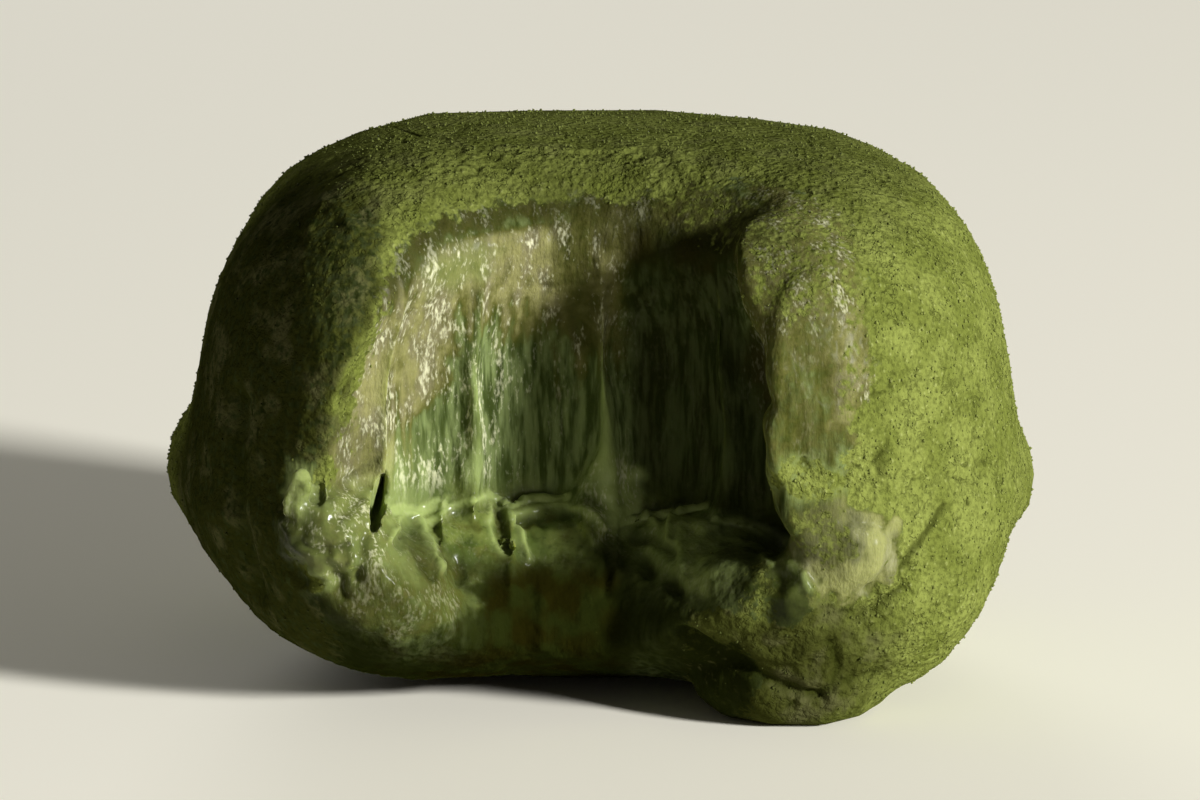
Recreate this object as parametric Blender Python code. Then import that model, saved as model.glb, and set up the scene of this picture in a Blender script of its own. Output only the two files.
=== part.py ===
"""A bitten dango: one ball of sticky rice dough, dusted with green tea powder.

The dough has sagged into a low cushion that stands on a flat spot. One bite is gone from its front:
the upper teeth have left tall channels in the wall, the lower teeth short ones on the lip below, and
the dough has torn at both ends of the lip. All of it is one solid, with +Z up and the bite facing -Y.
The origin is the middle of its footprint. Lengths are in millimetres until a mesh is made.
"""

import math

import bmesh
import bpy
from mathutils import Euler, Matrix, Vector

MM = 0.001

# The whole ball: a rounded form about its widest level, flatter on top than below
BODY_HALF_WIDTH = 27.2
BODY_HALF_DEPTH = 25.2
WIDEST_LEVEL = 12.6
CROWN_HEIGHT = 21.6  # from the widest level to the top
BELLY_DEPTH = 14.0  # from the widest level to where the bottom would be, before the flat spot cuts it
PLAN_POWER = 2.45
CROWN_POWER = 4.4
BELLY_POWER = 2.2
CROWN_TAPER = 0.12  # how much the crown's sides and back lean in
CROWN_SHIFT = 0.6  # the top has sagged this far to the right
CROWN_TILT = 0.012  # and leans down to the right by this slope
BELLY_SHIFT = 5.5  # the bottom is this far further back than the middle
BODY_SEGMENTS = 96
BODY_RINGS = 64

# The bite: both rows of teeth stand on arches about one centre in front of the ball
BITE_X = -1.2
BITE_Y = -26.5
BITE_TOP = 40.0
BITE_BOTTOM = 2.5
PINCH_LEVEL = 12.4  # where the two rows met
RING_POINTS = 240
LOWER_STEPS = 12
UPPER_STEPS = 16

# Upper row: a round arch
UPPER_RADIUS = 15.3
UPPER_MIDLINE = 1.5  # along the arch, from the bite's middle
UPPER_TEETH = (7.0, 6.5, 8.0, 9.2, 6.5, 7.0)  # widths from left to right, three each side of the midline
UPPER_PRESS = 1.2  # how much deeper a tooth's middle is than the ridges at its sides
PRESS_FADES_FROM = 19.0  # the ridges sink into the wall between these levels
PRESS_FADES_TO = 30.0

# Lower row: a flatter arch that leaves a lip, rounded like a quarter of an ellipse
LOWER_MIDLINE = 1.2
LOWER_TEETH = (5.8, 4.8, 5.6, 5.2, 4.6, 5.8)
LOWER_PRESS = 0.6
LIP_REACH_IN = 13.0  # the arch's depth at the pinch
LIP_ROUNDING = 7.4  # how much shallower it is at the lip's foot
LIP_FOOT = 4.4
LIP_HALF_WIDTH = 14.4
LIP_NARROWING = 2.0
LIP_PLAN_POWER = 2.6

RIDGE_SHARPNESS = 3.4  # how narrow the ridges between teeth are: 2 is a plain arc

# Lumps, each as its middle, its half sizes and its lean about X, Y and Z in degrees
BODY_LUMPS = {
    "right_lobe": ((20.4, 5.5, 11.4), (8.4, 12.5, 7.0), (0, 0, 0)),
    "left_lobe": ((-20.4, 4.5, 11.2), (8.4, 12.5, 6.4), (0, 0, 0)),
    "right_cheek": ((13.6, -10.8, 8.6), (11.2, 10.6, 8.9), (0, 0, 0)),
    "left_cheek": ((-12.8, -10.2, 8.4), (9.6, 9.6, 6.6), (0, 0, 0)),
}
TORN_LUMPS = {
    "foot": ((11.8, -13.6, 3.4), (6.6, 6.6, 4.2), (0, 0, 0)),
    "lip_corner": ((10.8, -18.2, 7.0), (5.6, 3.2, 3.6), (0, 26, 0)),
    "torn_corner": ((-16.4, -19.5, 13.3), (2.9, 3.0, 2.7), (0, 0, 0)),
    "torn_tip": ((-18.0, -21.2, 15.2), (0.9, 0.8, 1.5), (0, 15, 0)),
    "corner_swelling": ((-14.2, -18.6, 9.0), (4.4, 3.2, 3.2), (0, 20, 0)),
    "flap": ((13.6, -21.0, 20.0), (3.9, 1.4, 6.4), (0, -5, 24)),
    "flap_foot": ((12.0, -21.0, 15.0), (1.9, 1.3, 2.2), (0, -25, 20)),
    "knob": ((15.2, -20.8, 12.3), (3.0, 2.1, 2.5), (0, 0, 0)),
}

# A torn bubble below the knob: a ring with a hollow in it
BUBBLE = (11.3, -21.3, 9.7)
BUBBLE_RADIUS = 1.5
BUBBLE_WALL = 0.7
BUBBLE_LEAN = math.radians(70)

# Holes, in the same form as the lumps
HOLES = {
    "tear": ((-13.7, -16.9, 13.7), (0.5, 4.0, 1.9), (0, -8, 0)),
    "tooth_gap": ((-6.1, -16.4, 11.3), (0.55, 2.0, 1.6), (0, 14, 0)),
    "bubble_hollow": ((11.3, -22.8, 9.7), (1.0, 2.6, 1.2), (0, 0, 0)),
}

# The rims are rounded first, then the teeth are cut sharper, then the whole skin is made even
RIM_VOXEL = 0.8
RIM_ROUNDS = 50
SKIN_VOXEL = 0.45
SKIN_ROUNDS = 3
SMOOTHING = 0.6
SKIN_FACES = 9400
GROUND = (90.0, 90.0, 20.0)


def clear_scene():
    """Removes what a new Blender file starts with."""
    for obj in list(bpy.data.objects):
        bpy.data.objects.remove(obj)


def add_object(name, builder, anchor):
    """Makes a mesh object from a bmesh in millimetres, and hangs it on the anchor."""
    bmesh.ops.recalc_face_normals(builder, faces=builder.faces)
    bmesh.ops.scale(builder, vec=Vector((MM, MM, MM)), verts=builder.verts)
    mesh = bpy.data.meshes.new(name)
    builder.to_mesh(mesh)
    builder.free()
    obj = bpy.data.objects.new(name, mesh)
    bpy.context.scene.collection.objects.link(obj)
    obj.parent = anchor
    return obj


def make_helper(obj):
    """Marks a cutter or a lump, which only shapes the dough and isn't a piece of its own."""
    obj.hide_render = True
    obj.display_type = "WIRE"
    return obj


def join_loops(builder, loop, following):
    """A band of faces between two rings of as many points."""
    for i, vert in enumerate(loop):
        j = (i + 1) % len(loop)
        builder.faces.new((vert, loop[j], following[j], following[i]))


# --- the ball --------------------------------------------------------------------------------


def body_point(direction):
    """Where the ball's skin is in this direction from the middle of its widest level."""
    wide = abs(direction.x / BODY_HALF_WIDTH) ** PLAN_POWER
    deep = abs(direction.y / BODY_HALF_DEPTH) ** PLAN_POWER
    plan = (wide + deep) ** (1 / PLAN_POWER)
    if direction.z > 0:
        height, power = CROWN_HEIGHT, CROWN_POWER
    else:
        height, power = BELLY_DEPTH, BELLY_POWER
    reach = (plan**power + abs(direction.z / height) ** power) ** (-1 / power)
    point = direction * reach
    above = max(0.0, point.z) / CROWN_HEIGHT
    below = max(0.0, -point.z) / BELLY_DEPTH
    point.x *= 1 - CROWN_TAPER * above
    if point.y > 0:
        point.y *= 1 - CROWN_TAPER * above
    point.z -= CROWN_TILT * point.x * above
    point.x += CROWN_SHIFT * above
    point.y += BELLY_SHIFT * below
    return point + Vector((0, 0, WIDEST_LEVEL))


def add_body(anchor):
    """The ball before the bite."""
    body = bmesh.new()
    bmesh.ops.create_uvsphere(body, u_segments=BODY_SEGMENTS, v_segments=BODY_RINGS, radius=1)
    for vert in body.verts:
        vert.co = body_point(vert.co.normalized())
    return add_object("dango", body, anchor)


def ellipsoids(forms, anchor):
    """Lumps or holes: balls stretched to their half sizes, then leaned."""
    made = []
    for name, (middle, half_sizes, lean) in forms.items():
        ball = bmesh.new()
        bmesh.ops.create_uvsphere(ball, u_segments=32, v_segments=20, radius=1)
        turn = Euler([math.radians(degrees) for degrees in lean]).to_matrix().to_4x4()
        place = Matrix.Translation(middle) @ turn @ Matrix.Diagonal((*half_sizes, 1))
        bmesh.ops.transform(ball, matrix=place, verts=ball.verts)
        made.append(make_helper(add_object(name, ball, anchor)))
    return made


def bubble_ring(anchor):
    """The rim of the torn bubble."""
    ring = bmesh.new()
    around, through = 32, 12
    angles = [2 * math.pi * j / through for j in range(through)]
    section = [
        Vector((BUBBLE_RADIUS + BUBBLE_WALL * math.cos(a), 0, BUBBLE_WALL * math.sin(a)))
        for a in angles
    ]
    loops = []
    for i in range(around):
        turn = Matrix.Rotation(2 * math.pi * i / around, 3, "Z")
        loops.append([ring.verts.new(turn @ point) for point in section])
    for i, loop in enumerate(loops):
        join_loops(ring, loop, loops[(i + 1) % around])
    place = Matrix.Translation(BUBBLE) @ Matrix.Rotation(BUBBLE_LEAN, 4, "X")
    bmesh.ops.transform(ring, matrix=place, verts=ring.verts)
    return make_helper(add_object("bubble_ring", ring, anchor))


# --- the bite --------------------------------------------------------------------------------


def tooth_edges(midline, widths):
    """The places between teeth along a row, from left to right."""
    edges = [midline - sum(widths[: len(widths) // 2])]
    for width in widths:
        edges.append(edges[-1] + width)
    return edges


UPPER_EDGES = tooth_edges(UPPER_MIDLINE, UPPER_TEETH)
LOWER_EDGES = tooth_edges(LOWER_MIDLINE, LOWER_TEETH)


def press_at(along, edges, depth):
    """How much deeper the dough is pressed here: nothing between two teeth, depth at a tooth's middle."""
    for left, right in zip(edges, edges[1:]):
        if left <= along <= right:
            off_middle = abs(2 * (along - left) / (right - left) - 1)
            return depth * (1 - off_middle**RIDGE_SHARPNESS)
    return 0.0


def ring_angles():
    """The directions of a ring's points, from straight ahead, right round."""
    return [2 * math.pi * i / RING_POINTS - math.pi for i in range(RING_POINTS)]


def bite_point(reach, angle, level):
    """A point of the bite's cut, this far from the arches' centre."""
    return (BITE_X + reach * math.sin(angle), BITE_Y + reach * math.cos(angle), level)


def upper_ring(level, toothed):
    """The upper row's cut at a level."""
    fading = (level - PRESS_FADES_FROM) / (PRESS_FADES_TO - PRESS_FADES_FROM)
    press = UPPER_PRESS * (1 - min(1.0, max(0.0, fading))) if toothed else 0.0
    points = []
    for angle in ring_angles():
        reach = UPPER_RADIUS + press_at(UPPER_RADIUS * angle, UPPER_EDGES, press)
        points.append(bite_point(reach, angle, level))
    return points


def lower_ring(level, toothed):
    """The lower row's cut at a level. The lip bulges forward from the pinch to its foot."""
    press = LOWER_PRESS if toothed else 0.0
    down = min(1.0, (PINCH_LEVEL - level) / (PINCH_LEVEL - LIP_FOOT))
    depth = LIP_REACH_IN - LIP_ROUNDING * math.sqrt(1 - (1 - down) ** 2)
    half_width = LIP_HALF_WIDTH - LIP_NARROWING * down
    points = []
    for angle in ring_angles():
        wide = abs(math.sin(angle) / half_width) ** LIP_PLAN_POWER
        deep = abs(math.cos(angle) / depth) ** LIP_PLAN_POWER
        reach = (wide + deep) ** (-1 / LIP_PLAN_POWER)
        if math.cos(angle) > 0:
            reach += press_at(reach * math.sin(angle), LOWER_EDGES, press)
        points.append(bite_point(reach, angle, level))
    return points


def bite(name, toothed, anchor):
    """The space that was bitten out: the lower row's rings, then the upper row's, as one closed form."""
    rings = [lower_ring(BITE_BOTTOM, toothed)]
    for i in range(LOWER_STEPS):
        rise = (1 - i / LOWER_STEPS) ** 2
        rings.append(lower_ring(PINCH_LEVEL - (PINCH_LEVEL - LIP_FOOT) * rise, toothed))
    for i in range(UPPER_STEPS + 1):
        rings.append(upper_ring(PINCH_LEVEL + (BITE_TOP - PINCH_LEVEL) * i / UPPER_STEPS, toothed))
    builder = bmesh.new()
    loops = [[builder.verts.new(point) for point in ring] for ring in rings]
    for loop, following in zip(loops, loops[1:]):
        join_loops(builder, loop, following)
    builder.faces.new(loops[0])
    builder.faces.new(loops[-1])
    return make_helper(add_object(name, builder, anchor))


def ground(anchor):
    """What the ball stands on, which cuts its flat spot."""
    block = bmesh.new()
    bmesh.ops.create_cube(block, size=1)
    place = Matrix.Translation((0, 0, -GROUND[2] / 2)) @ Matrix.Diagonal((*GROUND, 1))
    bmesh.ops.transform(block, matrix=place, verts=block.verts)
    return make_helper(add_object("ground", block, anchor))


# --- putting it together ---------------------------------------------------------------------


def group(name, helpers):
    """A collection that one Boolean takes at once."""
    collection = bpy.data.collections.new(name)
    bpy.context.scene.collection.children.link(collection)
    for helper in helpers:
        collection.objects.link(helper)
        bpy.context.scene.collection.objects.unlink(helper)
    return collection


def add_boolean(obj, name, operation, operand):
    """Joins an object or a collection to the dough, or cuts it away."""
    modifier = obj.modifiers.new(name, "BOOLEAN")
    modifier.operation = operation
    if isinstance(operand, bpy.types.Collection):
        modifier.operand_type = "COLLECTION"
        modifier.collection = operand
    else:
        modifier.object = operand


def soften(obj, name, voxel, rounds):
    """Runs all the forms so far together into one skin of even faces, and rounds its edges off."""
    remesh = obj.modifiers.new(name + "_skin", "REMESH")
    remesh.mode = "VOXEL"
    remesh.voxel_size = voxel * MM
    smooth = obj.modifiers.new(name + "_rounding", "SMOOTH")
    smooth.factor = SMOOTHING
    smooth.iterations = rounds


def evaluated_mesh(obj):
    """The object's mesh with its modifiers."""
    bpy.context.view_layer.update()
    return obj.evaluated_get(bpy.context.evaluated_depsgraph_get()).data


def thin_out(obj):
    """Leaves about as many faces as the form needs."""
    thin = obj.modifiers.new("fewer_faces", "DECIMATE")
    thin.use_collapse_triangulate = True
    thin.ratio = SKIN_FACES / len(evaluated_mesh(obj).loop_triangles)


def matcha_material():
    """Green tea powder over dough."""
    material = bpy.data.materials.new("matcha_dough")
    material.use_nodes = True
    shader = material.node_tree.nodes["Principled BSDF"]
    shader.inputs["Base Color"].default_value = (0.27, 0.32, 0.075, 1)
    shader.inputs["Roughness"].default_value = 0.85
    shader.inputs["Metallic"].default_value = 0
    return material


def centre_on_origin(obj, anchor):
    """Moves everything so that the middle of the footprint is the origin."""
    points = [vert.co for vert in evaluated_mesh(obj).vertices]
    for axis in (0, 1):
        values = [point[axis] for point in points]
        anchor.location[axis] = -(min(values) + max(values)) / 2


def main():
    """Shapes the dough: the ball, the bite and its rounded rims, the teeth, then the torn dough."""
    clear_scene()
    anchor = bpy.data.objects.new("dango_frame", None)
    bpy.context.scene.collection.objects.link(anchor)

    dango = add_body(anchor)
    torn_dough = [*ellipsoids(TORN_LUMPS, anchor), bubble_ring(anchor)]

    add_boolean(dango, "sagging", "UNION", group("sagging", ellipsoids(BODY_LUMPS, anchor)))
    add_boolean(dango, "bite", "DIFFERENCE", bite("bite", False, anchor))
    soften(dango, "rims", RIM_VOXEL, RIM_ROUNDS)
    add_boolean(dango, "teeth", "DIFFERENCE", bite("teeth", True, anchor))
    add_boolean(dango, "torn_dough", "UNION", group("torn_dough", torn_dough))
    add_boolean(dango, "holes", "DIFFERENCE", group("holes", ellipsoids(HOLES, anchor)))
    soften(dango, "dough", SKIN_VOXEL, SKIN_ROUNDS)
    thin_out(dango)
    add_boolean(dango, "flat_spot", "DIFFERENCE", ground(anchor))

    dango.data.materials.append(matcha_material())
    dango.data.shade_smooth()
    centre_on_origin(dango, anchor)


main()
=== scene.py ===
"""A bitten dango: soft rice dough under green tea powder, with one bite gone from its front.

The dough is worked out as one closed form in space: a ball that has sagged, less what the teeth took,
plus what tore and hung. A lattice of samples turns that form into a skin, which then gets its finer
relief. Lengths are in millimetres up to the moment a mesh is made. The bite faces -Y, and +Z is up.
"""

from __future__ import annotations

import logging
import math
from dataclasses import dataclass, field
from enum import Enum
from typing import Any, Callable

import bpy
import numpy as np
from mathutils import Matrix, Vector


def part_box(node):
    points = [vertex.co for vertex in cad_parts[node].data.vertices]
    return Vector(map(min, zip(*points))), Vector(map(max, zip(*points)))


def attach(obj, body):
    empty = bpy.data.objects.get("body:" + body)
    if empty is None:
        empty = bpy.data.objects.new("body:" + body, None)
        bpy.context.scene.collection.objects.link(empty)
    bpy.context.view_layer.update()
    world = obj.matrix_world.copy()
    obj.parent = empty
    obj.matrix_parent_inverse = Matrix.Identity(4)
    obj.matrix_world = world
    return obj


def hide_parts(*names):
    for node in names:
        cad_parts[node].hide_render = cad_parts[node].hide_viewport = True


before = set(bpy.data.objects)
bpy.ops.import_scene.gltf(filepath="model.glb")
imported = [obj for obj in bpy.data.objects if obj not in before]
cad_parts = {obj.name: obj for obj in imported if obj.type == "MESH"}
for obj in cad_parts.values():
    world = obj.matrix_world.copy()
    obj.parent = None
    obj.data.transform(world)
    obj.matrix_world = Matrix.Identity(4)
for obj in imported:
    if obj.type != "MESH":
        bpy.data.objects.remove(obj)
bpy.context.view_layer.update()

import openvdb
from mathutils import Euler, Vector

Array = np.ndarray
Point = tuple[float, float, float]
Colour = tuple[float, float, float]

MM = 0.001
NODE = "dango"
BODY = "root"

# Added to what is divided by, so that it is never 0.
TINY = 1e-6
LEAST_LENGTH = 1e-9

# Odd factors and shifts that stir a lattice cell's whole numbers into one random number, which is then
# read as three parts.
WORD = 0xFFFFFFFF
AXIS_FACTORS = np.array([0x8DA6B343, 0xD8163841, 0xCB1AB31F], np.uint32)
SEED_FACTOR, SALT_FACTOR = 7919, 104729
STIRS = ((15, 0x2C1B3C6D), (12, 0x297A2D39))
LAST_SHIFT = 15
PART_BITS = 10
PART_TOP = 2**PART_BITS - 1

# What brings a layer of unevenness to about 1, and what shifts each finer layer away from the last.
LAYER_GAIN = 1.6
LAYER_OFFSET = 17.3

OUTLINE_SEED = 40
MARK_SEED = 50
SLIGHT_GLOSS = 0.1

log = logging.getLogger("dango")


# --- numbers over many points ------------------------------------------------------------------


def rise(values: Array, low: float, high: float) -> Array:
    """A soft step, 0 before low and 1 after high. High may be below low, for a step down."""
    t = np.clip((values - low) / (high - low), 0.0, 1.0)
    return t * t * (3.0 - 2.0 * t)


@dataclass(frozen=True)
class Step:
    """A soft step that goes from 0 at low to its height at high."""

    low: float
    high: float
    height: float = 1.0

    def __call__(self, values: Array) -> Array:
        """The step at these values."""
        return self.height * rise(values, self.low, self.high)


@dataclass(frozen=True)
class Wave:
    """A regular sway, this high, and this many radians for each unit."""

    height: float
    rate: float

    def __call__(self, values: Array, start: float | Array = 0.0) -> Array:
        """The sway at these values, shifted by a start in radians."""
        return self.height * np.sin(values * self.rate + start)


def hump(values: Array, middle: float, width: float) -> Array:
    """A soft bell of height 1 about a middle."""
    return np.exp(-(((values - middle) / width) ** 2))


def soft_min(a: Array, b: Array, softness: float | Array) -> Array:
    """The lower of two fields, with the corner between them rounded that far to each side."""
    share = np.clip(0.5 + 0.5 * (b - a) / softness, 0.0, 1.0)
    return b + (a - b) * share - softness * share * (1.0 - share)


def soft_max(a: Array, b: Array, softness: float | Array) -> Array:
    """The higher of two fields, with the corner between them rounded."""
    return -soft_min(-a, -b, softness)


@dataclass(frozen=True)
class Noise:
    """Random unevenness in space, the same each time for its seed.

    Attributes:
        size: how far apart its hills are, alike or for X, Y and Z.
        seed: which unevenness it is.
        octaves: how many layers it has, each half as large and half as strong as the one before.
    """

    size: float | Point
    seed: int
    octaves: int = 1

    def spread(self, cells: Array, salt: int) -> Array:
        """Random numbers for lattice cells.

        Args:
            cells: whole numbers, three to a row.
            salt: tells one use from another.

        Returns:
            Three numbers from 0 to 1 for each cell.
        """
        key = (cells.astype(np.int64) & WORD).astype(np.uint32) * AXIS_FACTORS
        start = np.uint32((self.seed * SEED_FACTOR + salt * SALT_FACTOR) & WORD)
        mixed = key[:, 0] + key[:, 1] + key[:, 2] + start
        for shift, factor in STIRS:
            mixed ^= mixed >> np.uint32(shift)
            mixed *= np.array([factor], np.uint32)
        mixed ^= mixed >> np.uint32(LAST_SHIFT)
        parts = [(mixed >> np.uint32(PART_BITS * i)) & np.uint32(PART_TOP) for i in range(3)]
        return np.stack(parts, 1).astype(np.float32) / float(PART_TOP)

    def layer(self, points: Array, salt: int) -> Array:
        """One layer of smooth hills and dips, from about -1 to 1.

        Args:
            points: rows of X, Y and Z.
            salt: tells one layer from another.

        Returns:
            A number for each point.
        """
        floor = np.floor(points)
        inside = (points - floor).astype(np.float32)
        smooth = inside * inside * inside * (inside * (inside * 6.0 - 15.0) + 10.0)
        total = np.zeros(len(points), np.float32)
        for corner in np.ndindex(2, 2, 2):
            offset = np.array(corner, np.float32)
            slope = 2.0 * self.spread(floor + offset, salt) - 1.0
            weight = np.prod(np.where(offset > 0.5, smooth, 1.0 - smooth), axis=1)
            total += weight * ((inside - offset) * slope).sum(1)
        return total * LAYER_GAIN

    def at(self, points: Array) -> Array:
        """The unevenness at these points, from about -1 to 1.

        Args:
            points: rows of X, Y and Z.

        Returns:
            A number for each point.
        """
        scaled = points / np.array(self.size, np.float32)
        total = np.zeros(len(points), np.float32)
        for octave in range(self.octaves):
            total += self.layer(scaled * 2.0**octave + LAYER_OFFSET * octave, octave) / 2.0**octave
        return total

    def nearest(self, points: Array) -> Array:
        """How far each point is from the nearest of scattered seeds, as a share of the size.

        Args:
            points: rows of X, Y and Z.

        Returns:
            A number for each point.
        """
        scaled = points / np.array(self.size, np.float32)
        floor = np.floor(scaled)
        best = np.full(len(points), np.inf, np.float32)
        for step in np.ndindex(3, 3, 3):
            cell = floor + (np.array(step, np.float32) - 1.0)
            gap = np.sqrt(((cell + self.spread(cell, 0) - scaled) ** 2).sum(1)).astype(np.float32)
            best = np.minimum(best, gap)
        return best


def swayed(points: Array, size: float, seed: int) -> Array:
    """Three unevennesses of one size, one for each axis."""
    return np.stack([Noise(size, seed + axis).at(points) for axis in range(3)], 1)


# --- the ball and its lumps --------------------------------------------------------------------


@dataclass(frozen=True)
class Ball:
    """The whole dango before the bite: a cushion, flatter on top, standing on a flat spot."""

    half_width: float = 27.0
    half_depth: float = 24.8
    widest_level: float = 12.6
    crown_height: float = 21.6
    belly_depth: float = 14.0
    plan_power: float = 2.45
    crown_power: float = 4.2
    belly_power: float = 2.1
    crown_taper: float = 0.12
    taper_top: float = 1.2
    crown_shift: float = 0.6
    crown_tilt: float = 0.02
    belly_shift: float = 5.5

    def distance(self, points: Array) -> Array:
        """How far these points are outside the ball's skin, roughly; negative inside.

        Args:
            points: rows of X, Y and Z.

        Returns:
            The distances.
        """
        n = self.plan_power
        z = points[:, 2] - self.widest_level
        above = np.clip(z, 0.0, None) / self.crown_height
        below = np.clip(-z, 0.0, None) / self.belly_depth
        taper = 1.0 - self.crown_taper * np.minimum(above, self.taper_top)
        x = (points[:, 0] - self.crown_shift * above) / taper
        z = z + self.crown_tilt * points[:, 0] * above
        y = points[:, 1] - self.belly_shift * below
        y = np.where(y > 0, y / taper, y)
        wide, deep = np.abs(x) / self.half_width, np.abs(y) / self.half_depth
        high = z > 0
        height = np.where(high, self.crown_height, self.belly_depth)
        power = np.where(high, self.crown_power, self.belly_power)
        tall = np.abs(z) / height
        plan = (wide**n + deep**n) ** (1.0 / n) + TINY
        grown = (plan**power + tall**power) ** (1.0 / power) + TINY
        plan_slope = np.hypot(wide ** (n - 1) / self.half_width, deep ** (n - 1) / self.half_depth)
        plan_slope *= plan ** (1.0 - n) * (plan / grown) ** (power - 1.0)
        tall_slope = (tall / grown) ** (power - 1.0) / height
        return (grown - 1.0) / np.hypot(plan_slope, tall_slope)


@dataclass(frozen=True)
class Lump:
    """A bit of dough, or a hole, shaped like a stretched and leaning ball.

    Attributes:
        middle: where it is.
        half_sizes: its half sizes along its own X, Y and Z.
        lean: how it is turned about X, Y and Z, in degrees.
        softness: how far it runs into the dough around it.
        raggedness: how far its outline strays from smooth.
        sway_size: how far apart the bulges of that outline are.
        sheet: for a sheet, how far its two faces lie below the ball's former skin.
        sheet_edge: how far a sheet's edges are rounded.
    """

    middle: Point
    half_sizes: Point
    lean: Point = (0.0, 0.0, 0.0)
    softness: float = 1.0
    raggedness: float = 0.0
    sway_size: float = 2.6
    sheet: tuple[float, float] | None = None
    sheet_edge: float = 0.6

    def near(self, points: Array, margin: float = 1.0) -> Array:
        """Which points are near enough for the lump to matter."""
        reach = max(self.half_sizes) + self.softness + self.raggedness + margin
        return (np.abs(points - np.array(self.middle, np.float32)) < reach).all(1)

    def distance(self, points: Array, skin: Array) -> Array:
        """How far these points are outside the lump.

        Args:
            points: rows of X, Y and Z.
            skin: how far they are outside the ball's former skin.

        Returns:
            The distances, roughly; negative inside.
        """
        moved = points
        if self.raggedness:
            moved = points + self.raggedness * swayed(points, self.sway_size, OUTLINE_SEED)
        turn = np.array(Euler([math.radians(degrees) for degrees in self.lean]).to_matrix())
        own = (moved - np.array(self.middle)) @ turn
        sizes = np.array(self.half_sizes)
        out = np.linalg.norm(own / sizes, axis=1) + TINY
        slope = np.linalg.norm(own / sizes**2, axis=1) + TINY
        gap = out * (out - 1.0) / slope
        if self.sheet:
            outer, inner = self.sheet
            gap = soft_max(soft_max(gap, skin + outer, self.sheet_edge), -skin - inner, self.sheet_edge)
        return gap


def line_gap(places: Array, path: Array) -> Array:
    """How far places are from a line of straight stretches.

    Args:
        places: rows of coordinates.
        path: the line's corners, in the same coordinates.

    Returns:
        The distances.
    """
    best = np.full(len(places), np.inf)
    for start, end in zip(path, path[1:]):
        along = end - start
        share = np.clip((places - start) @ along / (along @ along), 0.0, 1.0)
        best = np.minimum(best, np.linalg.norm(places - start - share[:, None] * along, axis=1))
    return best


def near_path(places: Array, path: Array, margin: float) -> Array:
    """Which places are within a margin of the box round a path."""
    return ((places > path.min(0) - margin) & (places < path.max(0) + margin)).all(1)


@dataclass(frozen=True)
class Fold:
    """A thin raised edge, or a groove, that follows a line of points.

    Attributes:
        path: the points that it passes.
        radius: how thick it is at its middle.
        softness: how far it runs into the dough around it.
        margin: how much further off a point may still matter.
    """

    path: tuple[Point, ...]
    radius: float
    softness: float = 0.5
    margin: float = 0.8

    def near(self, points: Array) -> Array:
        """Which points are near enough for the fold to matter."""
        return near_path(points, np.array(self.path), self.radius + self.softness + self.margin)

    def distance(self, points: Array, skin: Array) -> Array:
        """How far these points are outside it, wherever the skin is; negative inside."""
        return line_gap(points, np.array(self.path)) - self.radius


Feature = Lump | Fold


@dataclass(frozen=True)
class Mark:
    """A wrinkle or a crack in the front of the skin, too fine to be a form of its own.

    Attributes:
        path: the points that it passes, as X and Z.
        width: half its width.
        height: how far it stands out; below zero for a crack.
        tone: how much paler it is than the dough, as painted highlight; below zero darker, as painted shade.
        sway: how far it strays from its path.
        sway_size: how long its bends are.
        margin: how much further off than three widths a point may still matter.
    """

    path: tuple[tuple[float, float], ...]
    width: float
    height: float
    tone: float = 0.0
    sway: float = 0.12
    sway_size: float = 0.9
    margin: float = 0.4

    def share(self, points: Array) -> Array:
        """How fully each point lies on it, from 0 to 1.

        Args:
            points: rows of X, Y and Z.

        Returns:
            A share for each point.
        """
        bends = [self.sway * Noise(self.sway_size, MARK_SEED + axis).at(points) for axis in range(2)]
        gap = line_gap(points[:, ::2] + np.stack(bends, 1), np.array(self.path))
        return hump(gap, 0.0, self.width) * (points[:, 1] < 0.0)

    def near(self, points: Array) -> Array:
        """Which points are near enough for it to matter."""
        return near_path(points[:, ::2], np.array(self.path), 3.0 * self.width + self.margin)


# --- the bite ----------------------------------------------------------------------------------


@dataclass(frozen=True)
class ToothRow:
    """One row of teeth, as the marks it leaves along its arch.

    Attributes:
        widths: the teeth's widths from left to right, half of them on each side of the midline.
        depths: how deep each tooth pressed, as a share of the row's press.
        midline: where the two middle teeth meet, along the arch from the bite's middle.
        press: how deep a full mark is.
        sharpness: how narrow the ridges between teeth are.
    """

    widths: tuple[float, ...]
    depths: tuple[float, ...]
    midline: float
    press: float
    sharpness: float

    def edges(self) -> Array:
        """The places between teeth along the arch, from left to right."""
        left = self.midline - sum(self.widths[: len(self.widths) // 2])
        return left + np.concatenate([[0.0], np.cumsum(self.widths)])

    def mark(self, along: Array) -> Array:
        """How deep the dough is pressed at these places along the arch.

        Args:
            along: the places, in millimetres.

        Returns:
            The depths.
        """
        edges = self.edges()
        tooth = np.clip(np.searchsorted(edges, along) - 1, 0, len(self.widths) - 1)
        left, right = edges[tooth], edges[tooth + 1]
        off_middle = np.clip(np.abs(2.0 * (along - left) / (right - left) - 1.0), 0.0, 1.0)
        return self.press * np.array(self.depths)[tooth] * (1.0 - off_middle**self.sharpness)


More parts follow.
